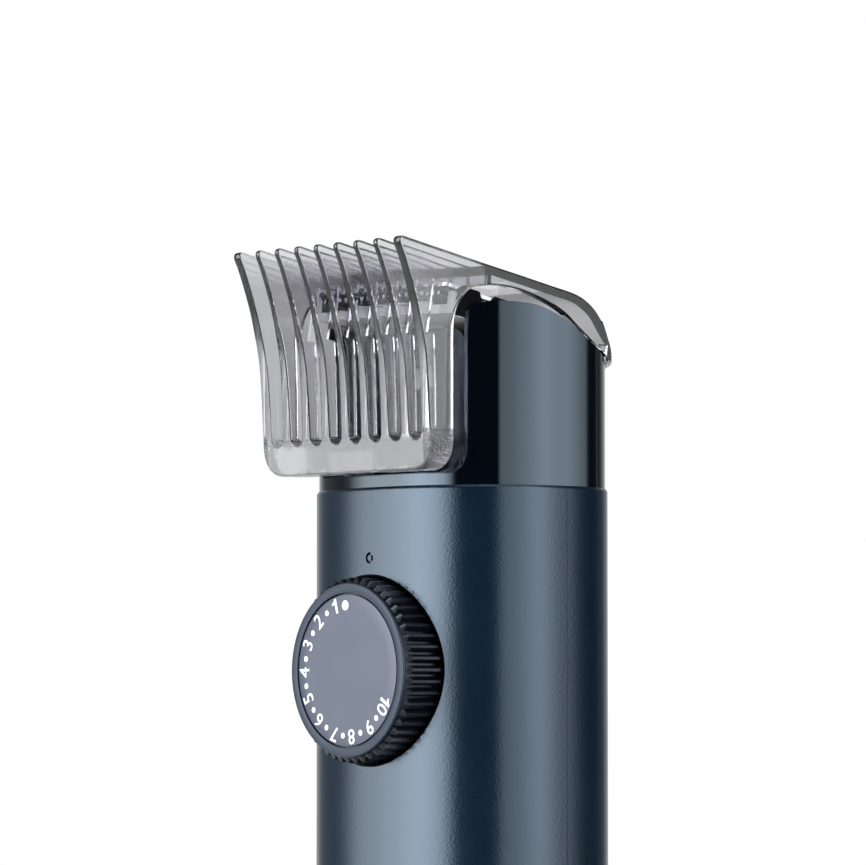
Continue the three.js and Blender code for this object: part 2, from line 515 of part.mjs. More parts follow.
// eight hair slots with round bottoms
for (let i = 0; i < 8; i++) {
  const x = (i - 3.5) * FIN_PITCH;
  // the fins thin out toward their tips
  const wall = [[1.1, 6.5], [1.16, 12], [1.32, 18], [1.46, 24], [1.56, 32]];
  const slot = [...wall.map(([w, z]) => [x + w, Z_RIM + z]), ...[...wall].reverse().map(([w, z]) => [x - w, Z_RIM + z])];
  for (let k = 1; k < 8; k++) slot.push([x - 1.1 * Math.cos(Math.PI * k / 8), Z_RIM + 6.5 - 1.1 * Math.sin(Math.PI * k / 8)]);
  comb = comb.subtract(prismY(slot, -30, -9.8));
}
// rear hook wrapped round the back of the head
const hookRing = cut(prismZ(oval(HEAD_A + 0.95, HEAD_B + 0.95, 64), Z_RIM + 10, Z_RIM + 24),
  prismZ(oval(HEAD_A + 0.3, HEAD_B + 0.3, 64), Z_RIM + 9, Z_RIM + 25));
const hookSide = rim([[9.2, 18.4], [9.6, 17.6], [10.4, 16.95], [11.5, 16.4], [12.8, 16.1], [14.3, 15.9], [14.9, 14.6], [15.3, 13.7], [17, 13.5], [17, 16.9], [15.0, 17.5], [13.2, 18.6], [11.4, 19.6], [9.6, 20.2], [8.7, 19.6]]);
comb = comb.add(hookRing.intersect(prismX(hookSide, -COMB_HALF, COMB_HALF)));
const rearRoof = prismX(rim([[9.0, 21.9], [9.8, 21.5], ...combRear, [16.3, 15.8], [15.0, 16.4], [13.2, 17.4], [11.4, 18.6], [10.0, 19.9], [9.0, 20.9]]), -25, 25)
  .intersect(prismZ(oval(HEAD_A + 0.95, HEAD_B + 0.95, 64), Z_RIM + 10, Z_RIM + 24))
  .intersect(box(-COMB_HALF, COMB_HALF, 8, 20, 130, 170));
comb = comb.add(rearRoof);
// room for the blade block, open below so the comb lifts straight off
const bladeRoom = (() => {
  const g = new THREE.BoxGeometry(2 * (BLADE_HALF + 0.4), 12.2, 7.0);
  g.translate(0, 0.55, -2.55);
  g.rotateX(BLADE_TILT);
  g.translate(0, BLADE_Y, BLADE_Z);
  return solid(g);
})();
comb = cut(comb, bladeRoom, box(-(BLADE_HALF + 0.4), BLADE_HALF + 0.4, -15.95, -11, Z_RIM + 17, Z_RIM + 25.2));
// pocket that drops over the carriage tongue
comb = comb.subtract(box(-4.3, 4.3, -17.8, -15, Z_RIM, Z_RIM + 4.4));
add('guide_comb', comb, M.comb);

export default clipper;
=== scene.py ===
# Hair clipper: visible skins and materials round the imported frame. Metres; helpers take millimetres.
import math

import bmesh
import bpy
import numpy as np
from mathutils import Matrix, Vector


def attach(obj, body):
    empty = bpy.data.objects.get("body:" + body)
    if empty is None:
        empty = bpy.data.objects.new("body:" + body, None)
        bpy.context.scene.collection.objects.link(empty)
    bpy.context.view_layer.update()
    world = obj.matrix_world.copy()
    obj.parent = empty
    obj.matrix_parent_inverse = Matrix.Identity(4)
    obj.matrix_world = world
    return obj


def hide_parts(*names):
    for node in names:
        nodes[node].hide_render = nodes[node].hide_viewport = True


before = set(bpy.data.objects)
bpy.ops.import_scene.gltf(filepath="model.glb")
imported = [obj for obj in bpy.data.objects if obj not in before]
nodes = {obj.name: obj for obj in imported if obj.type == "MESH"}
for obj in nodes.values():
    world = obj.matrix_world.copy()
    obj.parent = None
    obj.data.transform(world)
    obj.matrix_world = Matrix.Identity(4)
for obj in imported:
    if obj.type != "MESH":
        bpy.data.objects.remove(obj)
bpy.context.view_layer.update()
scene = bpy.context.scene
MM = 0.001

# ------------------------------------------------------------------ the sizes, in mm
BODY_A, BODY_B, OVAL_N = 20.0, 15.7, 2.5
HEAD_A, HEAD_B = 19.72, 15.42
WALL = 1.6
Z_RIM, BASE_H, SEAM_Y = 130.0, 6.0, 0.4
DIAL_Z, WELL_R = 106.35, 12.36
BUTTON_Z, BUTTON_R, LIGHT_Z = 62.0, 6.0, 49.0
SHELF_Z = Z_RIM + 1.5
PANEL_HALF = 14.4
COMB_HALF, COMB_WALL, FIN_PITCH, SLOT_W = 16.7, 1.2, 3.93, 2.2
BLADE_TILT = math.radians(-11.0)
BLADE_Y, BLADE_Z, BLADE_HALF = -10.5, Z_RIM + 24.0, 14.2


# ------------------------------------------------------------------ camera
AZ = math.radians(49.1)
to_cam = Vector((math.sin(AZ), -math.cos(AZ), 0.0))
right = Vector((math.cos(AZ), math.sin(AZ), 0.0))
cam_data = bpy.data.cameras.new("camera")
cam_data.sensor_width = 36.0
cam_data.lens = 36.0 * 5300.0 / 866.0
cam_data.dof.use_dof = False
cam_data.clip_start, cam_data.clip_end = 0.01, 50.0
camera = bpy.data.objects.new("camera", cam_data)
scene.collection.objects.link(camera)
aim = Vector((0, 0, 137.5)) - right * 3.69
camera.location = (aim + to_cam * 691.0 + Vector((0, 0, -37.5))) * MM
camera.rotation_mode = "QUATERNION"
camera.rotation_quaternion = (aim * MM - camera.location).to_track_quat("-Z", "Y")
scene.camera = camera


# ------------------------------------------------------------------ mesh helpers
def make(name, verts, faces, mats, angle=35.0):
    me = bpy.data.meshes.new(name)
    me.from_pydata([Vector(v) * MM for v in verts], [], faces)
    bm = bmesh.new()
    bm.from_mesh(me)
    bmesh.ops.remove_doubles(bm, verts=bm.verts, dist=1e-7)
    bmesh.ops.recalc_face_normals(bm, faces=bm.faces)
    if bm.calc_volume(signed=True) < 0:
        bmesh.ops.reverse_faces(bm, faces=bm.faces)
    bm.to_mesh(me)
    bm.free()
    ob = bpy.data.objects.new(name, me)
    scene.collection.objects.link(ob)
    for m in mats if isinstance(mats, (list, tuple)) else [mats]:
        me.materials.append(m)
    smooth(ob, angle)
    return ob


def smooth(ob, angle=35.0):
    ob.data.polygons.foreach_set("use_smooth", [True] * len(ob.data.polygons))
    ob.data.set_sharp_from_angle(angle=math.radians(angle))
    ob.data.update()


def bake(ob):
    """Modifiers into the mesh."""
    bpy.context.view_layer.update()
    dg = bpy.context.evaluated_depsgraph_get()
    me = bpy.data.meshes.new_from_object(ob.evaluated_get(dg))
    old = ob.data
    ob.modifiers.clear()
    ob.data = me
    bpy.data.meshes.remove(old)
    return ob


def boolean(ob, other, op):
    m = ob.modifiers.new("b", "BOOLEAN")
    m.operation, m.object, m.solver = op, other, "EXACT"
    bake(ob)
    bpy.data.objects.remove(other)
    return ob


def bevel(ob, width, segments=3, limit=35.0, angle=50.0, clamp=True):
    bm = bmesh.new()
    bm.from_mesh(ob.data)
    bmesh.ops.remove_doubles(bm, verts=bm.verts, dist=2e-6)
    bmesh.ops.dissolve_degenerate(bm, edges=bm.edges, dist=2e-6)
    bm.to_mesh(ob.data)
    bm.free()
    m = ob.modifiers.new("bevel", "BEVEL")
    m.width, m.segments, m.limit_method = width * MM, segments, "ANGLE"
    m.angle_limit = math.radians(limit)
    m.use_clamp_overlap = clamp
    m.miter_outer = "MITER_ARC"
    bake(ob)
    smooth(ob, angle)
    w = ob.modifiers.new("even", "WEIGHTED_NORMAL")
    w.keep_sharp = True
    w.weight = 100
    bake(ob)
    return ob


def oval_normals(ob, ovals, z0, z1, limit=14.0, tol=0.02):
    """True normals on the faces that lie on an upright superellipse wall."""
    me = ob.data
    nv, nl, nf = len(me.vertices), len(me.loops), len(me.polygons)
    co = np.empty(nv * 3); me.vertices.foreach_get("co", co); co = co.reshape(-1, 3) / MM
    lv = np.empty(nl, int); me.loops.foreach_get("vertex_index", lv)
    start = np.empty(nf, int); me.polygons.foreach_get("loop_start", start)
    total = np.empty(nf, int); me.polygons.foreach_get("loop_total", total)
    fn = np.empty(nf * 3); me.polygons.foreach_get("normal", fn); fn = fn.reshape(-1, 3)
    old = np.empty(nl * 3); me.corner_normals.foreach_get("vector", old); old = old.reshape(-1, 3)
    face_of = np.repeat(np.arange(nf), total)
    p, f = co[lv], fn[face_of]
    new = old.copy()
    for a, b in ovals:
        ax, ay = np.abs(p[:, 0] / a), np.abs(p[:, 1] / b)
        rad = (ax ** OVAL_N + ay ** OVAL_N) ** (1 / OVAL_N)
        g = np.stack([np.sign(p[:, 0]) * ax ** (OVAL_N - 1) / a, np.sign(p[:, 1]) * ay ** (OVAL_N - 1) / b, np.zeros(nl)], 1)
        g /= np.linalg.norm(g, axis=1)[:, None] + 1e-12
        on = (np.abs(rad - 1) * b < tol) & (np.abs(f[:, 2]) < 0.12) & (p[:, 2] > z0) & (p[:, 2] < z1)
        on &= (g * f).sum(1) > math.cos(math.radians(limit))
        new[on] = g[on]
    me.normals_split_custom_set([tuple(v) for v in new])


def flatter_sides(ob, z0, z1):
    """Turns the head wall's normals as on a collar with flatter sides than the grip's oval."""
    me = ob.data
    nl = len(me.loops)
    old = np.empty(nl * 3); me.corner_normals.foreach_get("vector", old); old = old.reshape(-1, 3)
    lv = np.empty(nl, int); me.loops.foreach_get("vertex_index", lv)
    co = np.empty(len(me.vertices) * 3); me.vertices.foreach_get("co", co); co = co.reshape(-1, 3)[lv] / MM
    az = np.degrees(np.arctan2(np.abs(old[:, 0]), -old[:, 1]))
    to = np.interp(az, [0, 57, 83.6, 90, 96.2, 99.6, 101.8, 103.5, 106, 112, 180], [0, 57, 80.7, 84.0, 87.8, 89.0, 91.0, 96.0, 103.0, 112, 180])
    wall = (np.abs(old[:, 2]) < 0.02) & (co[:, 2] > z0) & (co[:, 2] < z1) & (az > 57) & (az < 112)
    new = old.copy()
    a = np.radians(to[wall])
    new[wall, 0] = np.sign(old[wall, 0]) * np.sin(a)
    new[wall, 1] = -np.cos(a)
    new[wall, 2] = 0.0
    me.normals_split_custom_set([tuple(v) for v in new])


def oval(a, b, n=OVAL_N, count=256, lo=0.0, hi=2 * math.pi):
    """Points of a superellipse, evenly spaced along its length."""
    t = np.linspace(lo, hi, 6001)
    c, s = np.cos(t), np.sin(t)
    x, y = a * np.sign(c) * abs(c) ** (2 / n), b * np.sign(s) * abs(s) ** (2 / n)
    d = np.concatenate([[0], np.cumsum(np.hypot(np.diff(x), np.diff(y)))])
    closed = abs(hi - lo - 2 * math.pi) < 1e-9
    u = np.linspace(0, d[-1], count + 1)
    pts = list(zip(np.interp(u, d, x), np.interp(u, d, y)))
    return pts[:-1] if closed else pts


def curve(points, per=6, closed=False):
    """Catmull-Rom curve through the points."""
    p = [np.array(q, float) for q in points]
    n = len(p)
    out = []
    for i in range(n if closed else n - 1):
        p0 = p[(i - 1) % n] if closed or i > 0 else 2 * p[0] - p[1]
        p1, p2 = p[i], p[(i + 1) % n]
        p3 = p[(i + 2) % n] if closed or i + 2 < n else 2 * p[-1] - p[-2]
        for k in range(per):
            t = k / per
            out.append(tuple(0.5 * (2 * p1 + (p2 - p0) * t + (2 * p0 - 5 * p1 + 4 * p2 - p3) * t * t
                                    + (3 * p1 - p0 - 3 * p2 + p3) * t ** 3)))
    if not closed:
        out.append(tuple(p[-1]))
    return out


def prism(name, pts, axis, lo, hi, mats=(), angle=35.0):
    """A closed outline pushed along an axis. z: outline in X,Y; x: outline in Y,Z; y: outline in X,Z."""
    put = {"z": lambda u, v, w: (u, v, w), "x": lambda u, v, w: (w, u, v), "y": lambda u, v, w: (u, w, v)}[axis]
    n = len(pts)
    verts = [put(u, v, lo) for u, v in pts] + [put(u, v, hi) for u, v in pts]
    faces = [tuple(range(n)), tuple(range(2 * n - 1, n - 1, -1))]
    faces += [(i, (i + 1) % n, n + (i + 1) % n, n + i) for i in range(n)]
    return make(name, verts, faces, list(mats), angle)


def block(name, x0, x1, y0, y1, z0, z1, mats=()):
    return prism(name, [(x0, y0), (x1, y0), (x1, y1), (x0, y1)], "z", z0, z1, mats)


def round_rect(cx, cy, hx, hy, r, seg=10):
    pts = []
    for sx, sy, a0 in ((1, 1, 0), (-1, 1, 90), (-1, -1, 180), (1, -1, 270)):
        for i in range(seg + 1):
            a = math.radians(a0 + 90 * i / seg)
            pts.append((cx + sx * (hx - r) + r * math.cos(a), cy + sy * (hy - r) + r * math.sin(a)))
    return pts


def disc(cx, cy, r, seg=96):
    return [(cx + r * math.cos(2 * math.pi * i / seg), cy + r * math.sin(2 * math.pi * i / seg)) for i in range(seg)]


def turned(name, profile, mats, seg=160, centre=(0, 0, DIAL_Z), angle=30.0, picks=None):
    """Revolves (radius, Y) about the Y direction through centre. The profile starts and ends on the axis."""
    verts, faces, idx = [], [], []
    for r, y in profile:
        if r < 1e-9:
            idx.append([len(verts)])
            verts.append((centre[0], centre[1] + y, centre[2]))
        else:
            idx.append(list(range(len(verts), len(verts) + seg)))
            for i in range(seg):
                a = 2 * math.pi * i / seg
                verts.append((centre[0] + r * math.cos(a), centre[1] + y, centre[2] + r * math.sin(a)))
    face_row = []
    for k in range(len(profile) - 1):
        a, b = idx[k], idx[k + 1]
        for i in range(seg):
            j = (i + 1) % seg
            f = [a[i % len(a)], a[j % len(a)], b[j % len(b)], b[i % len(b)]]
            f = tuple(dict.fromkeys(f))
            if len(f) > 2:
                faces.append(f)
                face_row.append(k)
    ob = make(name, verts, faces, mats, angle)
    if picks:
        for p, k in zip(ob.data.polygons, face_row):
            p.material_index = picks.get(k, 0)
    return ob


# ------------------------------------------------------------------ materials
def new_mat(name):
    m = bpy.data.materials.new(name)
    m.use_nodes = True
    nt = m.node_tree
    b = nt.nodes["Principled BSDF"]
    return m, nt, b


def link(nt, a, ao, b, bi):
    nt.links.new(a.outputs[ao], b.inputs[bi])


def coords(nt, scale=1.0):
    t = nt.nodes.new("ShaderNodeTexCoord")
    mp = nt.nodes.new("ShaderNodeMapping")
    mp.inputs["Scale"].default_value = (scale, scale, scale) if not isinstance(scale, tuple) else scale
    link(nt, t, "Object", mp, "Vector")
    return mp


def noise(nt, vec, scale, detail=3.0, rough=0.5):
    n = nt.nodes.new("ShaderNodeTexNoise")
    n.inputs["Scale"].default_value = scale
    n.inputs["Detail"].default_value = detail
    n.inputs["Roughness"].default_value = rough
    link(nt, vec, "Vector", n, "Vector")
    return n


def ramp(nt, src, out, stops):
    r = nt.nodes.new("ShaderNodeValToRGB")
    e = r.color_ramp.elements
    while len(e) > len(stops):
        e.remove(e[-1])
    while len(e) < len(stops):
        e.new(0.5)
    for el, (pos, col) in zip(e, stops):
        el.position = pos
        el.color = (*col, 1.0) if len(col) == 3 else col
    link(nt, src, out, r, "Fac")
    return r


def bump(nt, src, out, strength, distance, prev=None):
    b = nt.nodes.new("ShaderNodeBump")
    b.inputs["Strength"].default_value = strength
    b.inputs["Distance"].default_value = distance
    link(nt, src, out, b, "Height")
    if prev is not None:
        link(nt, prev, "Normal", b, "Normal")
    return b


def rough_noise(nt, b, vec, scale, lo, hi, detail=4.0):
    n = noise(nt, vec, scale, detail)
    r = nt.nodes.new("ShaderNodeMapRange")
    r.inputs["From Min"].default_value, r.inputs["From Max"].default_value = 0.3, 0.7
    r.inputs["To Min"].default_value, r.inputs["To Max"].default_value = lo, hi
    link(nt, n, "Fac", r, "Value")
    link(nt, r, "Result", b, "Roughness")


def grained(name, base, base2, r_lo, r_hi, grain=1700.0, strength=0.35, dist=0.00004, tint=(1, 1, 1), ior=1.5):
    """Moulded plastic with a fine pebbled grain."""
    m, nt, b = new_mat(name)
    vec = coords(nt)
    big = noise(nt, vec, 90.0, 3.0)
    c = ramp(nt, big, "Fac", [(0.3, base), (0.7, base2)])
    link(nt, c, "Color", b, "Base Color")
    rough_noise(nt, b, vec, 260.0, r_lo, r_hi)
    v = nt.nodes.new("ShaderNodeTexVoronoi")
    v.feature = "SMOOTH_F1"
    v.inputs["Scale"].default_value = grain
    v.inputs["Smoothness"].default_value = 0.6
    warp = noise(nt, vec, 900.0, 2.0)
    mix = nt.nodes.new("ShaderNodeMix")
    mix.data_type = "VECTOR"
    mix.inputs["Factor"].default_value = 0.0008
    link(nt, vec, "Vector", mix, 4)
    link(nt, warp, "Color", mix, 5)
    nt.links.new(mix.outputs[1], v.inputs["Vector"])
    b1 = bump(nt, v, "Distance", strength, dist)
    fine = noise(nt, vec, grain * 2.2, 2.0)
    b2 = bump(nt, fine, "Fac", strength * 0.5, dist * 0.6, b1)
    link(nt, b2, "Normal", b, "Normal")
    b.inputs["Specular Tint"].default_value = (*tint, 1.0)
    b.inputs["IOR"].default_value = ior
    return m


M = {}
M["shell"] = grained("shell_navy", (0.0008, 0.0056, 0.0128), (0.0012, 0.0068, 0.0150), 0.22, 0.24, grain=3400.0, strength=0.55,
                     dist=0.000022, tint=(0.65, 0.82, 1.0), ior=1.55)


def glossy(name, base, base2, r_lo, r_hi, tint=(1, 1, 1), ior=1.5, wave=0.05):
    m, nt, b = new_mat(name)
    vec = coords(nt)
    n = noise(nt, vec, 60.0, 2.0)
    c = ramp(nt, n, "Fac", [(0.3, base), (0.7, base2)])
    link(nt, c, "Color", b, "Base Color")
    rough_noise(nt, b, vec, 700.0, r_lo, r_hi)
    # the slight orange peel and the odd dust speck of a polished moulding
    peel = noise(nt, vec, 420.0, 2.0)
    b1 = bump(nt, peel, "Fac", wave, 0.00003)
    speck = nt.nodes.new("ShaderNodeTexVoronoi")
    speck.inputs["Scale"].default_value = 380.0
    link(nt, vec, "Vector", speck, "Vector")
    sr = ramp(nt, speck, "Distance", [(0.0, (1, 1, 1)), (0.045, (0, 0, 0))])
    b2 = bump(nt, sr, "Color", 0.25, 0.00002, b1)
    link(nt, b2, "Normal", b, "Normal")
    b.inputs["Specular Tint"].default_value = (*tint, 1.0)
    b.inputs["IOR"].default_value = ior
    return m


M["head"] = glossy("head_gloss_navy", (0.0006, 0.0015, 0.0030), (0.0008, 0.0019, 0.0038), 0.035, 0.055, tint=(0.65, 0.82, 1.0), ior=1.55)
M["black"] = grained("black_plastic", (0.006, 0.0065, 0.008), (0.010, 0.0105, 0.012), 0.38, 0.5, grain=1400.0, strength=0.25, dist=0.00003)
M["knurl"] = grained("knurl_black", (0.0012, 0.0016, 0.0030), (0.0022, 0.0027, 0.0045), 0.22, 0.28, grain=2600.0, strength=0.10, dist=0.00001, tint=(0.72, 0.82, 1.0), ior=1.42)
M["dial"] = grained("dial_grey", (0.034, 0.040, 0.060), (0.039, 0.045, 0.066), 0.36, 0.42, grain=3200.0, strength=0.22, dist=0.00002, tint=(0.80, 0.87, 1.0), ior=1.47)
M["ring"] = grained("dial_ring_grey", (0.011, 0.016, 0.027), (0.014, 0.019, 0.031), 0.36, 0.42, grain=3200.0, strength=0.2, dist=0.00002, tint=(0.74, 0.85, 1.0), ior=1.35)
# painted shade: the dial's groove is coloured near black, darker than the cap's grey, for the shade inside it
M["groove"] = grained("dial_groove_painted_shade", (0.004, 0.006, 0.012), (0.006, 0.008, 0.014), 0.4, 0.5, grain=2600.0, strength=0.1, dist=0.00002)
M["print"] = grained("dial_print", (0.62, 0.62, 0.63), (0.72, 0.72, 0.72), 0.45, 0.55, grain=3500.0, strength=0.1, dist=0.00001)
M["holder"] = grained("holder_black", (0.0015, 0.0015, 0.0018), (0.0025, 0.0025, 0.003), 0.42, 0.52, grain=1800.0, strength=0.15, dist=0.00002, ior=1.28)
M["panel"] = glossy("panel_navy", (0.0010, 0.0028, 0.0058), (0.0014, 0.0034, 0.0068), 0.16, 0.22, tint=(0.62, 0.80, 1.0), ior=1.33)
# painted light: a light grey used on the blade holder so the view through the comb's fins reads lighter
M["holder_painted_light_grey"] = grained("holder_painted_light_grey", (0.46, 0.46, 0.47), (0.52, 0.52, 0.53), 0.3, 0.4, grain=1800.0, strength=0.15, dist=0.00002)
M["acetal"] = grained("acetal_ivory", (0.62, 0.60, 0.53), (0.68, 0.66, 0.59), 0.4, 0.5, grain=2000.0, strength=0.1, dist=0.00002)


def metal(name, base, base2, r_lo, r_hi, lines=(60.0, 2200.0, 60.0), strength=0.2):
    m, nt, b = new_mat(name)
    vec = coords(nt)
    n = noise(nt, vec, 300.0, 3.0)
    c = ramp(nt, n, "Fac", [(0.3, base), (0.7, base2)])
    link(nt, c, "Color", b, "Base Color")
    b.inputs["Metallic"].default_value = 1.0
    rough_noise(nt, b, vec, 500.0, r_lo, r_hi)
    lv = coords(nt, lines)
    ln = noise(nt, lv, 1.0, 2.0)
    b1 = bump(nt, ln, "Fac", strength, 0.00001)
    link(nt, b1, "Normal", b, "Normal")
    return m


M["steel"] = metal("ground_steel", (0.52, 0.53, 0.55), (0.62, 0.63, 0.65), 0.2, 0.32)
M["nickel"] = metal("nickel_strip", (0.50, 0.47, 0.40), (0.60, 0.57, 0.50), 0.25, 0.4)
M["can"] = metal("plated_can", (0.42, 0.43, 0.45), (0.52, 0.53, 0.55), 0.25, 0.4, lines=(60.0, 60.0, 1500.0))
M["board"] = grained("solder_mask", (0.010, 0.075, 0.032), (0.016, 0.10, 0.045), 0.25, 0.35, grain=1500.0, strength=0.1, dist=0.00002)
M["cell"] = grained("cell_wrap", (0.03, 0.13, 0.05), (0.045, 0.17, 0.07), 0.2, 0.32, grain=900.0, strength=0.08, dist=0.00002)
M["light"] = grained("light_pipe", (0.55, 0.60, 0.64), (0.65, 0.69, 0.72), 0.2, 0.3, grain=2000.0, strength=0.1, dist=0.00001)


def comb_material():
    m, nt, b = new_mat("smoke_clear")
    vec = coords(nt)
    n = noise(nt, vec, 55.0, 3.0)
    c = ramp(nt, n, "Fac", [(0.3, (0.86, 0.855, 0.875)), (0.7, (0.92, 0.915, 0.93))])
    link(nt, c, "Color", b, "Base Color")
    b.inputs["Transmission Weight"].default_value = 1.0
    b.inputs["IOR"].default_value = 1.57
    # the lower side corners are left frosted from the mould
    sep = nt.nodes.new("ShaderNodeSeparateXYZ")
    tc = nt.nodes.new("ShaderNodeTexCoord")
    nt.links.new(tc.outputs["Object"], sep.inputs[0])

    def span(src, a, b2):
        r = nt.nodes.new("ShaderNodeMapRange")
        r.interpolation_type = "SMOOTHSTEP"
        r.inputs["From Min"].default_value, r.inputs["From Max"].default_value = a, b2
        r.inputs["To Min"].default_value, r.inputs["To Max"].default_value = 0.0, 1.0
        nt.links.new(src, r.inputs["Value"])
        return r.outputs["Result"]

    def maths(op, x, y=None):
        q = nt.nodes.new("ShaderNodeMath")
        q.operation = op
        nt.links.new(x, q.inputs[0])
        if y is not None:
            nt.links.new(y, q.inputs[1])
        return q.outputs[0]

    low = span(sep.outputs["Z"], 0.1372, 0.1362)
    far = span(maths("ABSOLUTE", sep.outputs["X"]), 0.0152, 0.0160)
    mask = maths("MULTIPLY", low, far)
    n2 = noise(nt, vec, 400.0, 4.0)
    r = nt.nodes.new("ShaderNodeMapRange")
    r.inputs["From Min"].default_value, r.inputs["From Max"].default_value = 0.3, 0.7
    r.inputs["To Min"].default_value, r.inputs["To Max"].default_value = 0.02, 0.045
    link(nt, n2, "Fac", r, "Value")
    mx = nt.nodes.new("ShaderNodeMath")
    mx.operation = "MULTIPLY_ADD"
    nt.links.new(mask, mx.inputs[0])
    mx.inputs[1].default_value = 0.10
    nt.links.new(r.outputs["Result"], mx.inputs[2])
    bar = nt.nodes.new("ShaderNodeMath")
    bar.operation = "MULTIPLY_ADD"
    lower = span(sep.outputs["Z"], 0.1366, 0.1352)
    nt.links.new(lower, bar.inputs[0])
    bar.inputs[1].default_value = 0.20
    nt.links.new(mx.outputs[0], bar.inputs[2])
    nt.links.new(bar.outputs[0], b.inputs["Roughness"])
    clear = nt.nodes.new("ShaderNodeMath")
    clear.operation = "MULTIPLY_ADD"
    nt.links.new(lower, clear.inputs[0])
    clear.inputs[1].default_value, clear.inputs[2].default_value = -0.06, 1.0
    nt.links.new(clear.outputs[0], b.inputs["Transmission Weight"])
    grain = nt.nodes.new("ShaderNodeTexVoronoi")
    grain.inputs["Scale"].default_value = 2800.0
    link(nt, vec, "Vector", grain, "Vector")
    gm = nt.nodes.new("ShaderNodeMath")
    gm.operation = "MULTIPLY"
    link(nt, grain, "Distance", gm, 0)
    nt.links.new(mask, gm.inputs[1])
    b0 = nt.nodes.new("ShaderNodeBump")
    b0.inputs["Strength"].default_value = 0.9
    b0.inputs["Distance"].default_value = 0.00022
    nt.links.new(gm.outputs[0], b0.inputs["Height"])
    # flow marks of the moulding and fine handling scratches
    wv = coords(nt, (200.0, 60.0, 60.0))
    flow = noise(nt, wv, 1.0, 3.0)
    b1 = bump(nt, flow, "Fac", 0.07, 0.00004, b0)
    sv = coords(nt, (900.0, 120.0, 3200.0))
    scr = noise(nt, sv, 1.0, 1.0)
    b2 = bump(nt, scr, "Fac", 0.03, 0.00001, b1)
    link(nt, b2, "Normal", b, "Normal")
    va = nt.nodes.new("ShaderNodeVolumeAbsorption")
    va.inputs["Color"].default_value = (0.10, 0.075, 0.12, 1.0)
    va.inputs["Density"].default_value = 225.0
    nt.links.new(va.outputs[0], nt.nodes["Material Output"].inputs["Volume"])
    return m


M["comb"] = comb_material()


def repaint(node, mat):
    o = nodes[node]
    o.data.materials.clear()
    o.data.materials.append(mat)


# ------------------------------------------------------------------ grip shells
def half_tube(name, front, mats):
    gap = 0.03
    y_end = SEAM_Y - gap if front else SEAM_Y + gap
    section = [(0.16, BASE_H + 0.12), (0.05, BASE_H + 0.16), (0.0, BASE_H + 0.3), (0.0, 60.0), (0.0, 95.0), (0.0, Z_RIM - 0.62)]
    for k in range(1, 7):
        a = math.radians(90 * k / 6)
        section.append((0.62 - 0.62 * math.cos(a), Z_RIM - 0.62 + 0.62 * math.sin(a)))
    section += [(1.30, Z_RIM), (1.52, Z_RIM - 0.08), (WALL, Z_RIM - 0.3), (WALL, BASE_H + 0.12)]
    count = 150
    rows = []
    for off, z in section:
        a, b = BODY_A - off, BODY_B - off
        te = math.asin((y_end / b) ** (OVAL_N / 2))
        if front:
            pts = oval(a, b, count=count, lo=te, hi=-math.pi - te)
        else:
            pts = oval(a, b, count=count, lo=te, hi=math.pi - te)
        rows.append([(x, y, z) for x, y in pts])
    n, w = len(rows), count + 1
    verts = [p for row in rows for p in row]
    faces = []
    for i in range(n):
        j = (i + 1) % n
        for k in range(count):
            faces.append((i * w + k, i * w + k + 1, j * w + k + 1, j * w + k))
    faces.append(tuple(i * w for i in range(n)))
    faces.append(tuple(i * w + count for i in range(n - 1, -1, -1)))
    return make(name, verts, faces, mats)


front = half_tube("front_shell_skin", True, M["shell"])
boolean(front, prism("c", disc(0, DIAL_Z, WELL_R, 144), "y", -19, -8), "DIFFERENCE")
boolean(front, prism("c", disc(0, BUTTON_Z, BUTTON_R + 0.12, 96), "y", -19, -8), "DIFFERENCE")
boolean(front, prism("c", disc(0, LIGHT_Z, 1.25, 48), "y", -19, -8), "DIFFERENCE")
# index mark: a small engraved ring above the dial
ring = prism("c", disc(0, Z_RIM - 9.2, 0.74, 48), "y", -17, -BODY_B + 0.32)
boolean(ring, prism("c2", disc(0, Z_RIM - 9.2, 0.36, 48), "y", -18, -10), "DIFFERENCE")
boolean(front, ring, "DIFFERENCE")
smooth(front, 40)
oval_normals(front, [(BODY_A, BODY_B)], BASE_H + 0.29, Z_RIM - 0.61)
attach(front, "body")
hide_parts("front_shell")

rear = half_tube("rear_shell_skin", False, M["shell"])
boolean(rear, prism("c", round_rect(0, 16.1, 4.8, 1.95, 1.9), "y", 8, 19), "DIFFERENCE")
smooth(rear, 40)
oval_normals(rear, [(BODY_A, BODY_B)], BASE_H + 0.29, Z_RIM - 0.61)
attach(rear, "body")
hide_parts("rear_shell")

# the well that the dial turns in
well = turned("dial_well", [(0, -11.3), (12.2, -11.3), (12.34, -11.5), (12.34, -14.6), (12.95, -14.6), (12.95, -10.4), (0, -10.4)],
              M["black"], centre=(0, 0, DIAL_Z))
# the hole that the dial's hub and pinion pass through
boolean(well, prism("c", disc(0, DIAL_Z, 2.9, 64), "y", -13, -9), "DIFFERENCE")
# the well's rim follows the inside of the curved shell
boolean(well, prism("c", oval(BODY_A - WALL + 0.6, BODY_B - WALL + 0.6, count=160), "z", 80, 128), "INTERSECT")
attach(well, "body")


# base cap
def base_cap():
    prof = [(1.6, 0.0), (1.15, 0.06), (0.75, 0.2), (0.4, 0.48), (0.16, 0.85), (0.03, 1.3), (0.0, 1.8), (0.0, BASE_H - 0.25), (0.04, BASE_H - 0.1),
            (0.14, BASE_H), (1.95, BASE_H), (1.95, 9.6), (2.1, 9.8), (3.2, 9.8), (3.2, 4.0)]
    count = 220
    verts, faces = [], []
    for off, z in prof:
        verts += [(x, y, z) for x, y in oval(BODY_A - off, BODY_B - off, count=count)]
    for i in range(len(prof) - 1):
        for k in range(count):
            j = (k + 1) % count
            faces.append((i * count + k, i * count + j, (i + 1) * count + j, (i + 1) * count + k))
    faces.append(tuple(range(count)))
    last = (len(prof) - 1) * count
    faces.append(tuple(last + k for k in range(count - 1, -1, -1)))
    return make("base_cap_skin", verts, faces, M["shell"])


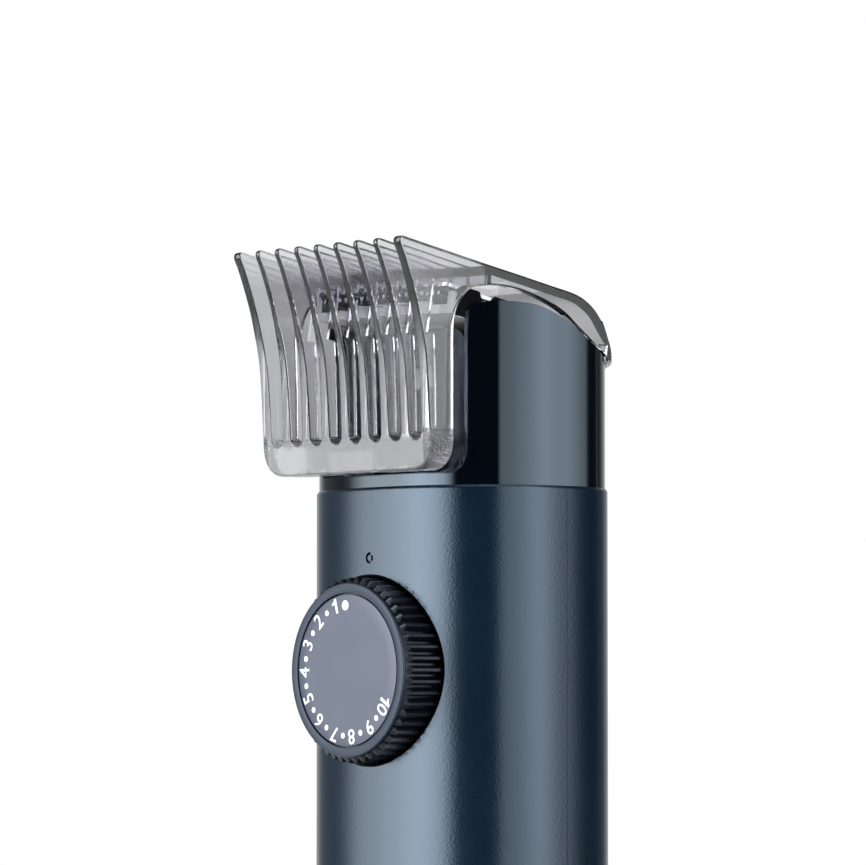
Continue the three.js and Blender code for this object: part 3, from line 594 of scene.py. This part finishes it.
base = base_cap()
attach(base, "body")
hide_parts("base_cap")

# ------------------------------------------------------------------ head housing
roof = [(-12.6, 20.6), (-12.0, 21.9), (-11.2, 22.75), (-10.2, 23.2), (-8.7, 23.3), (-4.5, 22.95),
        (-1.4, 22.0), (1.4, 20.75), (5.0, 18.8), (8.1, 17.45), (9.8, 16.7), (12.0, 15.8), (14.0, 15.1), (15.5, 14.7)]
roof_fine = curve(roof, 5)
outline = [(-16.5, -1.0), (16.5, -1.0), (16.5, 14.55)] + roof_fine[::-1] + [(-12.75, 19.0), (-16.5, 19.0)]
head = prism("head_housing_skin", oval(HEAD_A, HEAD_B, count=240), "z", Z_RIM - 1.0, Z_RIM + 27, [M["head"]])
boolean(head, prism("c", [(y, z + Z_RIM) for y, z in outline], "x", -25, 25), "INTERSECT")
inner = [(y, z - 1.5) for y, z in roof_fine]
inner_outline = [(-20, -8), (20, -8), (20, 13.0)] + inner[::-1] + [(-12.75, 17.6), (-20, 17.6)]
core = prism("c", oval(HEAD_A - 1.4, HEAD_B - 1.4, count=160), "z", Z_RIM - 3, Z_RIM + 27)
boolean(core, prism("c2", [(y, z + Z_RIM) for y, z in inner_outline], "x", -25, 25), "INTERSECT")
boolean(head, core, "DIFFERENCE")
shelf = prism("c", oval(HEAD_A - 0.7, HEAD_B - 0.7, count=160), "z", Z_RIM + 0.3, SHELF_Z)
boolean(shelf, block("c2", -30, 30, -16, -10.0, 120, 140), "INTERSECT")
boolean(head, shelf, "UNION")
boolean(head, prism("c", round_rect(0, SHELF_Z + 20, PANEL_HALF, 20, 3.6, 14), "y", -18, -9.8), "DIFFERENCE")


def tilted(name, x, y0, y1, z0, z1):
    ob = block(name, -x, x, y0, y1, z0, z1)
    ob.data.transform(Matrix.Translation(Vector((0, BLADE_Y, BLADE_Z)) * MM) @ Matrix.Rotation(BLADE_TILT, 4, "X"))
    return ob


boolean(head, tilted("c", BLADE_HALF + 0.35, -4.1, 6.5, -3.45, 8.55), "DIFFERENCE")
boolean(head, block("c", -6.5, 6.5, -10.5, -4.2, Z_RIM + 17, Z_RIM + 26), "DIFFERENCE")
bevel(head, 0.35, 4, limit=32, angle=60)
oval_normals(head, [(HEAD_A, HEAD_B)], Z_RIM - 1.1, Z_RIM + 24)
flatter_sides(head, Z_RIM - 1.1, Z_RIM + 24)
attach(head, "body")
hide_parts("head_housing")

panel = prism("head_front_panel_skin", round_rect(0, SHELF_Z + 9.25, PANEL_HALF - 0.08, 9.25, 3.5, 14), "y", -11.3, -10.1, [M["panel"]])
boolean(panel, block("c", -4.4, 4.4, -12, -9, SHELF_Z + 0.3, Z_RIM + 14.7), "DIFFERENCE")
bevel(panel, 0.3, 3, limit=35, angle=60)
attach(panel, "body")
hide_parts("head_front_panel")

# ------------------------------------------------------------------ dial
RIBS = 50


def knurled():
    fr = [(-0.5, 0), (-0.42, 0), (-0.13, 0.97), (-0.11, 1.0), (0.0, 1.0), (0.11, 1.0), (0.13, 0.97), (0.42, 0)]
    top, root = 11.9, 11.12
    # Y, height of the rib there, radius shrink
    rows = [(-19.12, 0.0, 0.06), (-19.04, 0.0, 0.0), (-18.98, 0.03, 0.0), (-18.52, 0.97, 0.0), (-18.46, 1.0, 0.0), (-15.5, 1.0, 0.0), (-12.3, 1.0, 0.0), (-12.1, 0.9, 0.1)]
    verts, faces = [], []
    per = len(fr) * RIBS
    for y, h, sh in rows:
        for i in range(RIBS):
            for f, g in fr:
                a = 2 * math.pi * (i + f) / RIBS
                r = root - sh + (top - root) * g * h
                verts.append((r * math.cos(a), y, DIAL_Z + r * math.sin(a)))
    # the cup inside: front seat for the cap, and the open back
    for r, y in ((11.2, -19.14), (11.2, -17.7), (0.0, -17.7)):
        if r == 0.0:
            verts.append((0, y, DIAL_Z))
        else:
            for i in range(per):
                a = 2 * math.pi * (i / per)
                verts.append((r * math.cos(a) * 1.0, y, DIAL_Z + r * math.sin(a)))
    n = len(rows)
    for k in range(n - 1):
        for i in range(per):
            j = (i + 1) % per
            faces.append((k * per + i, k * per + j, (k + 1) * per + j, (k + 1) * per + i))
    # front annulus and seat
    front0, seat0, mid = n * per, (n + 1) * per, (n + 2) * per
    off = int(per * 0.5 / RIBS)
    for i in range(per):
        j = (i + 1) % per
        faces.append((i, j, front0 + (j - off) % per, front0 + (i - off) % per))
        faces.append((front0 + i, front0 + j, seat0 + j, seat0 + i))
        faces.append((seat0 + i, seat0 + j, mid))
    # back: hollow cup with a hub
    back = (n - 1) * per
    prev = back
    for r, y in ((10.4, -12.05), (10.4, -16.3), (3.4, -16.3), (2.6, -12.0), (2.6, -10.3)):
        start = len(verts)
        for i in range(per):
            a = 2 * math.pi * ((i / per) - 0.5 / RIBS)
            verts.append((r * math.cos(a), y, DIAL_Z + r * math.sin(a)))
        for i in range(per):
            j = (i + 1) % per
            faces.append((prev + i, prev + j, start + j, start + i))
        prev = start
    verts.append((0, -10.3, DIAL_Z))
    for i in range(per):
        faces.append((prev + i, prev + (i + 1) % per, len(verts) - 1))
    return make("dial_knob_skin", verts, faces, M["knurl"], 12)


knob = knurled()
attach(knob, "dial")
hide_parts("dial_knob")

# the groove's walls and floor (profile rows 5 to 7) take the painted-shade groove material
cap = turned("dial_cap_skin", [
    (0, -19.42), (4.0, -19.42), (8.0, -19.42), (9.62, -19.42), (9.68, -19.40), (9.71, -19.34), (9.72, -19.0), (9.90, -19.0),
    (9.91, -19.42), (9.94, -19.48), (10.0, -19.5), (10.96, -19.5), (11.06, -19.47), (11.12, -19.38), (11.14, -19.15), (11.14, -17.9), (0, -17.9)],
    [M["dial"], M["groove"], M["ring"]], seg=200, picks={5: 1, 6: 1, 7: 1, 8: 2, 9: 2, 10: 2, 11: 2, 12: 2, 13: 2, 14: 2})
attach(cap, "dial")
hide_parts("dial_cap")


def printed(name, make_mesh):
    me = make_mesh()
    me.materials.clear()
    me.materials.append(M["print"])
    ob = bpy.data.objects.new(name, me)
    scene.collection.objects.link(ob)
    ob.data.transform(Matrix.Identity(4))
    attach(ob, "dial")
    return ob


ONE = [(0.12, 0.0), (0.33, 0.0), (0.33, 1.0), (0.17, 1.0), (0.12, 0.90), (0.0, 0.80), (-0.15, 0.76), (-0.15, 0.61), (0.12, 0.66)]


def glyph(ch):
    """One digit, 1 high, from x = 0, as a thin solid, with its width."""
    if ch == "1":
        x0 = min(p[0] for p in ONE)
        pts = [(x - x0, y) for x, y in ONE]
        n = len(pts)
        verts = [(x, y, 0.0) for x, y in pts] + [(x, y, 0.04) for x, y in pts]
        faces = [tuple(range(n)), tuple(range(2 * n - 1, n - 1, -1))] + [(k, (k + 1) % n, n + (k + 1) % n, n + k) for k in range(n)]
        return verts, faces, 0.5
    cu = bpy.data.curves.new("n", "FONT")
    cu.body = ch
    cu.extrude = 0.02
    cu.offset = 0.004
    cu.resolution_u = 6
    ob = bpy.data.objects.new("n", cu)
    scene.collection.objects.link(ob)
    bpy.context.view_layer.update()
    me = bpy.data.meshes.new_from_object(ob.evaluated_get(bpy.context.evaluated_depsgraph_get()))
    bpy.data.objects.remove(ob)
    co = np.array([v.co for v in me.vertices])
    lo, hi = co.min(0), co.max(0)
    k = 1.0 / (hi[1] - lo[1])
    verts = [((x - lo[0]) * k * 1.02, (y - lo[1]) * k, z - lo[2]) for x, y, z in co]
    faces = [tuple(p.vertices) for p in me.polygons]
    bpy.data.meshes.remove(me)
    return verts, faces, (hi[0] - lo[0]) * k * 1.02


def numeral(text, angle, height=1.92, radius=8.52):
    verts, faces, x = [], [], 0.0
    for ch in text:
        v, f, w = glyph(ch)
        faces += [tuple(q + len(verts) for q in face) for face in f]
        verts += [(a + x, b, c) for a, b, c in v]
        x += w + 0.12
    width = x - 0.12
    a = math.radians(angle)
    out = []
    for u, v, w in verts:
        u, v = (u - width / 2) * height, (v - 0.5) * height + radius
        out.append((u * math.cos(a) - v * math.sin(a), -19.415 - w * 0.6, DIAL_Z + u * math.sin(a) + v * math.cos(a)))
    ob = make("d", out, faces, M["print"])
    me = ob.data
    bpy.data.objects.remove(ob)
    return me


def dot(angle, r, radius):
    a = math.radians(angle)
    cx, cz = -radius * math.sin(a), radius * math.cos(a)
    prof = [(0, -19.44), (r * 0.9, -19.44), (r, -19.43), (r, -19.38), (0, -19.38)]
    ob = turned("d", prof, M["print"], seg=40, centre=(cx, 0, DIAL_Z + cz))
    me = ob.data
    bpy.data.objects.remove(ob)
    return me


for n, a in zip(range(1, 11), (16.5, 42, 67, 91.5, 115, 138.5, 162.5, 186, 211.5, 238)):
    printed(f"numeral_{n}", lambda: numeral(str(n), a))
for i, a in enumerate((28.7, 54.8, 79.6, 103.6, 127, 150.7, 174.4, 198.4, 223.5)):
    printed(f"half_dot_{i + 1}", lambda: dot(a, 0.36, 8.38))
printed("start_dot", lambda: dot(2.6, 0.64, 8.34))

# ------------------------------------------------------------------ power button
btn = turned("power_button_skin", [
    (0, -15.95), (2.6, -15.98), (4.2, -16.08), (5.0, -16.16), (5.55, -16.14), (5.86, -16.0), (5.98, -15.75), (6.0, -15.4), (6.0, -13.6), (1.5, -13.6), (1.5, -12.5), (0, -12.5)],
    M["shell"], centre=(0, 0, BUTTON_Z))
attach(btn, "button")
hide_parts("power_button")
# raised power symbol: a broken ring and a bar
def power_mark():
    verts, faces = [], []
    seg = 60
    for i in range(seg + 1):
        a = math.radians(90 + 35 + (360 - 70) * i / seg)
        for r, y in ((1.45, -16.02), (1.45, -15.9), (1.85, -15.9), (1.85, -16.02)):
            verts.append((r * math.cos(a), y, BUTTON_Z + r * math.sin(a)))
    for i in range(seg):
        for k in range(4):
            j = (k + 1) % 4
            faces.append((i * 4 + k, i * 4 + j, i * 4 + 4 + j, i * 4 + 4 + k))
    faces.append((0, 1, 2, 3))
    faces.append(tuple(seg * 4 + k for k in (3, 2, 1, 0)))
    ring = make("power_mark_ring", verts, faces, M["print"])
    bar = prism("power_mark_bar", round_rect(0, BUTTON_Z + 1.35, 0.2, 0.85, 0.19, 5), "y", -16.02, -15.9, [M["print"]])
    for o in (ring, bar):
        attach(o, "button")


power_mark()

# ------------------------------------------------------------------ guide comb
comb_front = [(-20.0, 9.6), (-20.1, 11.3), (-20.4, 15.2), (-20.8, 17.8), (-21.4, 20.4), (-22.1, 23.05),
              (-23.0, 25.65), (-24.0, 28.2), (-24.62, 29.45)]
tip = [(-24.82, 30.0), (-24.78, 30.42), (-24.46, 30.70), (-24.0, 30.72)]
comb_top = [(-23.2, 30.55), (-19.5, 29.8), (-10.0, 27.9), (-5.3, 27.0), (0.95, 25.75), (4.7, 25.0), (6.8, 24.2), (8.5, 23.0), (9.8, 21.5), (11.2, 20.05)]
arch = [(10.6, 16.95), (9.2, 17.95), (7.1, 19.5), (5.0, 21.0), (2.9, 22.5), (-0.2, 23.8), (-3.4, 24.7), (-6.4, 25.2), (-10.0, 25.3), (-12.0, 25.0),
        (-13.4, 24.3), (-14.7, 22.9), (-15.5, 21.1), (-15.8, 19.1), (-15.8, 14.0)]


def at_rim(pts):
    return [(y, z + Z_RIM) for y, z in pts]


side = [(-19.6, 1.6), (-19.72, 4.4), (-19.88, 7.6)] + curve(comb_front, 3)[:-1] + curve([comb_front[-1]] + tip + [comb_top[0]], 3)[:-1] + curve(comb_top, 3) + curve(arch, 3) + [(-15.8, 1.6)]
comb = prism("guide_comb_skin", at_rim(side), "x", -COMB_HALF - 2, COMB_HALF + 2, [M["comb"]])
boolean(comb, prism("c", round_rect(0, Z_RIM + 21.6, COMB_HALF, 20, 3.6, 10), "y", -30, 20), "INTERSECT")


def slot_cutter(x):
    """One slot: wider to the tips, and a little wider behind, so that each fin has draft."""
    rows = [(6.5, 1.0, 0.27), (12.0, 1.07, 0.27), (18.0, 1.26, 0.25), (24.0, 1.44, 0.17), (32.0, 1.54, 0.10)]
    rings = []
    for y, k in ((-30.0, 0.0), (-22.5, 0.0), (-15.8, 1.0), (-9.8, 1.0)):
        ring = [(x + w + k * g, y, Z_RIM + z) for z, w, g in rows] + [(x - w - k * g, y, Z_RIM + z) for z, w, g in rows[::-1]]
        r = 1.0 + 0.27 * k
        ring += [(x - r * math.cos(math.pi * q / 14), y, Z_RIM + 6.5 - r * math.sin(math.pi * q / 14)) for q in range(1, 14)]
        rings.append(ring)
    n = len(rings[0])
    verts = [p for ring in rings for p in ring]
    faces = [tuple(range(n)), tuple(range(4 * n - 1, 3 * n - 1, -1))]
    for k in range(3):
        faces += [(k * n + i, k * n + (i + 1) % n, (k + 1) * n + (i + 1) % n, (k + 1) * n + i) for i in range(n)]
    return make("c", verts, faces, [M["comb"]])


for i in range(8):
    boolean(comb, slot_cutter((i - 3.5) * FIN_PITCH), "DIFFERENCE")
bevel(comb, 0.27, 3, limit=32, angle=60, clamp=False)
hollow = at_rim([(-9.0, 10), (-9.0, 26.6)] + curve([(-5.3, 25.9), (0.95, 24.65), (4.7, 23.9), (6.5, 23.1), (8.0, 22.0), (9.0, 20.7), (10.4, 18.9)], 3) + [(12.5, 17.2), (12.5, 10)])
boolean(comb, prism("c", hollow, "x", -(COMB_HALF - COMB_WALL), COMB_HALF - COMB_WALL), "DIFFERENCE")
hook_side = at_rim(curve([(9.2, 18.4), (9.6, 17.6), (10.4, 16.95), (11.5, 16.45), (12.8, 16.15), (14.2, 15.9)], 3) + curve([(14.9, 14.6), (15.3, 13.75), (17.5, 13.55)], 3)
                   + curve([(17.5, 16.8), (15.0, 17.6), (13.2, 18.6), (11.4, 19.6), (9.8, 20.1)], 3))
FLARE = [(9.0, 0.81), (14.0, 0.81), (16.8, 0.81), (17.4, 0.80), (18.0, 0.74), (18.6, 0.62), (19.2, 0.45), (20.0, 0.24), (20.8, 0.03), (21.6, -0.2), (23.0, -0.5), (25.0, -0.9)]


def flared():
    """The oval the comb's rear end fills: it leans out to the skirt's lower edge."""
    count = 220
    verts, faces = [], []
    for z, off in FLARE:
        verts += [(x, y, Z_RIM + z) for x, y in oval(HEAD_A + off, HEAD_B + off, count=count)]
    for i in range(len(FLARE) - 1):
        for k in range(count):
            j = (k + 1) % count
            faces.append((i * count + k, i * count + j, (i + 1) * count + j, (i + 1) * count + k))
    faces.append(tuple(range(count)))
    last = (len(FLARE) - 1) * count
    faces.append(tuple(last + k for k in range(count - 1, -1, -1)))
    return make("c", verts, faces, [M["comb"]])


spare = block("c3", -25, 25, 8.6, 20, Z_RIM + 16.9, Z_RIM + 24.5)
boolean(spare, flared(), "DIFFERENCE")
boolean(comb, spare, "DIFFERENCE")
hook = flared()
boolean(hook, prism("c2", oval(HEAD_A + 0.16, HEAD_B + 0.16, count=220), "z", Z_RIM + 8, Z_RIM + 26), "DIFFERENCE")
boolean(hook, prism("c2", hook_side, "x", -COMB_HALF + 0.02, COMB_HALF - 0.02), "INTERSECT")
bevel(hook, 0.16, 3, limit=35, angle=60)
boolean(comb, hook, "UNION")
rear_roof = prism("c", at_rim([(9.0, 21.9)] + curve([(9.8, 21.5), (11.2, 20.05), (13.2, 18.55), (15.0, 17.5), (17.0, 16.6)], 4)
                             + curve([(17.0, 15.5), (15.0, 16.4), (13.2, 17.4), (11.4, 18.6), (10.0, 19.9)], 4) + [(9.0, 20.9)]), "x", -COMB_HALF + 0.01, COMB_HALF - 0.01)
boolean(rear_roof, flared(), "INTERSECT")
bevel(rear_roof, 0.3, 3, limit=35, angle=60)
boolean(comb, rear_roof, "UNION")
boolean(comb, tilted("c", BLADE_HALF + 0.4, -5.55, 6.65, -6.05, 0.95), "DIFFERENCE")
boolean(comb, block("c", -(BLADE_HALF + 0.4), BLADE_HALF + 0.4, -15.9, -11, Z_RIM + 17, Z_RIM + 25.2), "DIFFERENCE")
boolean(comb, block("c", -4.3, 4.3, -17.8, -15, Z_RIM, Z_RIM + 4.4), "DIFFERENCE")
# shallow pockets in the underside of the front bar
for i in range(6):
    boolean(comb, block("c", (i - 2.5) * FIN_PITCH - 0.9, (i - 2.5) * FIN_PITCH + 0.9, -17.7, -16.3, Z_RIM + 1.0, Z_RIM + 2.3), "DIFFERENCE")
bevel(comb, 0.05, 1, limit=50, angle=40)
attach(comb, "comb")
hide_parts("guide_comb")

# ------------------------------------------------------------------ blade holder cheeks
for side in (-1, 1):
    x0, x1 = sorted((side * 14.22, side * 14.5))
    pts = [(-2.6, 0.55), (-3.1, 0.1), (-3.3, -1.2), (-3.1, -3.1), (5.9, -3.1), (6.2, -2.4), (6.2, 0.2), (5.8, 0.75), (3.5, 0.75), (3.1, 0.0), (1.3, 0.0), (0.9, 0.75), (-2.2, 0.75)]
    cheek = prism("holder_cheek_" + ("left" if side < 0 else "right"), pts, "x", x0, x1, [M["holder"]])
    cheek.data.transform(Matrix.Translation(Vector((0, BLADE_Y, BLADE_Z)) * MM) @ Matrix.Rotation(BLADE_TILT, 4, "X"))
    bevel(cheek, 0.1, 2, limit=30, angle=50)
    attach(cheek, "body")

# ------------------------------------------------------------------ carried-over nodes
for n in ("fixed_blade", "moving_blade", "blade_spring", "blade_screw_left", "blade_screw_right", "chassis_screw_left",
          "chassis_screw_right", "dial_screw", "detent_spring", "motor_shaft", "charging_socket"):
    repaint(n, M["steel"])
M["holder"].node_tree.nodes["Principled BSDF"].inputs["Specular IOR Level"].default_value = 0.08
# painted light: the blade holder is coloured light grey so that the view through the comb's fins reads lighter
repaint("blade_holder", M["holder_painted_light_grey"])
for n in ("chassis", "motor_end_cap", "motor_bracket", "comb_carriage", "tact_switch"):
    repaint(n, M["black"])
for n in ("blade_driver", "eccentric", "dial_pinion"):
    repaint(n, M["acetal"])
for n in ("battery_tab_top", "battery_tab_bottom"):
    repaint(n, M["nickel"])
for n in ("circuit_board", "charging_board"):
    repaint(n, M["board"])
repaint("motor_can", M["can"])
repaint("battery_cell", M["cell"])
repaint("status_light", M["light"])

# ------------------------------------------------------------------ floor, light
floor_mat, nt, b = new_mat("floor_pale")
vec = coords(nt)
n = noise(nt, vec, 12.0, 4.0)
c = ramp(nt, n, "Fac", [(0.3, (0.76, 0.76, 0.765)), (0.7, (0.79, 0.79, 0.795))])
link(nt, c, "Color", b, "Base Color")
b.inputs["Roughness"].default_value = 0.9
fl = bpy.data.meshes.new("floor")
fl.from_pydata([(0.45 * math.cos(2 * math.pi * i / 96), 0.45 * math.sin(2 * math.pi * i / 96), -0.0002) for i in range(96)], [], [tuple(range(96))])
fl.materials.append(floor_mat)
floor = bpy.data.objects.new("floor", fl)
scene.collection.objects.link(floor)

# A studio surround by direction: a large softbox front left, a softer one on the right, the white
# background behind, dark between them. What the camera sees past the object is plain white.
world = bpy.data.worlds.new("studio")
scene.world = world
world.use_nodes = True
nt = world.node_tree
for x in list(nt.nodes):
    nt.nodes.remove(x)
out = nt.nodes.new("ShaderNodeOutputWorld")
tc = nt.nodes.new("ShaderNodeTexCoord")
sep = nt.nodes.new("ShaderNodeSeparateXYZ")
link(nt, tc, "Generated", sep, "Vector")


def math_node(op, *ins):
    m = nt.nodes.new("ShaderNodeMath")
    m.operation = op
    for i, v in enumerate(ins):
        if isinstance(v, (int, float)):
            m.inputs[i].default_value = v
        else:
            nt.links.new(v, m.inputs[i])
    return m.outputs[0]


neg_y = math_node("MULTIPLY", sep.outputs["Y"], -1.0)
azim = math_node("ARCTAN2", sep.outputs["X"], neg_y)                 # -pi..pi, 0 is the front
frac = math_node("MULTIPLY_ADD", azim, 1 / (2 * math.pi), 0.5)


def stops(table):
    return [((a + 180.0) / 360.0, (v, v, v)) for a, v in table]


LIGHT_SCALE = 10.0
table = [(-180, 0.06), (-172, 0.14), (-163, 0.45), (-150, 0.82), (-112, 0.82), (-102, 0.5), (-92, 0.25), (-66, 0.2), (-60, 0.5), (-55, 2.4), (-50, 5.3), (-38, 6.9), (-30, 8.8),
         (-22, 10.2), (-10, 9.5), (0, 7.0), (6, 3.7), (10, 0.6), (13, 0.02), (62, 0.02), (66, 2.3), (80, 2.8), (93, 3.7), (106, 4.8), (114, 5.3),
         (122, 4.2), (130, 2.2), (136, 0.8), (142, 0.08), (160, 0.02), (172, 0.03)]
table = [(a, v / 10.0) for a, v in table] + [(180, 0.03)]
cr = nt.nodes.new("ShaderNodeValToRGB")
el = cr.color_ramp.elements
st = stops(table)
while len(el) < len(st):
    el.new(0.5)
for e, (p, col) in zip(el, st):
    e.position, e.color = p, (*col, 1.0)
nt.links.new(frac, cr.inputs["Fac"])
band = math_node("MULTIPLY", cr.outputs["Color"], LIGHT_SCALE)
# fade out above and below
up = nt.nodes.new("ShaderNodeMapRange")
up.interpolation_type = "SMOOTHSTEP"
up.inputs["From Min"].default_value, up.inputs["From Max"].default_value = 0.72, 0.62
up.inputs["To Min"].default_value, up.inputs["To Max"].default_value = 0.0, 1.0
nt.links.new(sep.outputs["Z"], up.inputs["Value"])
band = math_node("MULTIPLY", band, up.outputs["Result"])
# the backdrop itself ends lower than the softboxes
behind = nt.nodes.new("ShaderNodeMapRange")
behind.inputs["From Min"].default_value, behind.inputs["From Max"].default_value = -1.66, -1.57
behind.inputs["To Min"].default_value, behind.inputs["To Max"].default_value = 1.0, 0.0
nt.links.new(azim, behind.inputs["Value"])
high = nt.nodes.new("ShaderNodeMapRange")
high.interpolation_type = "SMOOTHSTEP"
high.inputs["From Min"].default_value, high.inputs["From Max"].default_value = 0.25, 0.48
high.inputs["To Min"].default_value, high.inputs["To Max"].default_value = 0.0, 0.75
nt.links.new(sep.outputs["Z"], high.inputs["Value"])
band = math_node("MULTIPLY", band, math_node("SUBTRACT", 1.0, math_node("MULTIPLY", behind.outputs["Result"], high.outputs["Result"])))
down = nt.nodes.new("ShaderNodeMapRange")
down.interpolation_type = "SMOOTHSTEP"
down.inputs["From Min"].default_value, down.inputs["From Max"].default_value = -0.34, -0.06
down.inputs["To Min"].default_value, down.inputs["To Max"].default_value = 0.0, 1.0
nt.links.new(sep.outputs["Z"], down.inputs["Value"])
band = math_node("MULTIPLY", band, down.outputs["Result"])
low = math_node("MULTIPLY", math_node("SUBTRACT", 1.0, down.outputs["Result"]), 1.0)
band = math_node("ADD", band, low)
top = nt.nodes.new("ShaderNodeMapRange")
top.interpolation_type = "SMOOTHSTEP"
top.inputs["From Min"].default_value, top.inputs["From Max"].default_value = 0.72, 0.86
top.inputs["To Min"].default_value, top.inputs["To Max"].default_value = 0.0, 1.5
nt.links.new(sep.outputs["Z"], top.inputs["Value"])
total = math_node("ADD", band, top.outputs["Result"])
bg = nt.nodes.new("ShaderNodeBackground")
tint = nt.nodes.new("ShaderNodeCombineColor")
nt.links.new(math_node("MULTIPLY", total, 0.97), tint.inputs[0])
nt.links.new(math_node("MULTIPLY", total, 0.99), tint.inputs[1])
nt.links.new(math_node("MULTIPLY", total, 1.0), tint.inputs[2])
link(nt, tint, "Color", bg, "Color")
plain = nt.nodes.new("ShaderNodeBackground")
plain.inputs["Color"].default_value = (1.0, 1.0, 1.0, 1.0)
lp = nt.nodes.new("ShaderNodeLightPath")
mix = nt.nodes.new("ShaderNodeMixShader")
nt.links.new(lp.outputs["Is Camera Ray"], mix.inputs[0])
nt.links.new(bg.outputs[0], mix.inputs[1])
nt.links.new(plain.outputs[0], mix.inputs[2])
nt.links.new(mix.outputs[0], out.inputs["Surface"])

scene.view_settings.view_transform = "Standard"
scene.view_settings.look = "None"
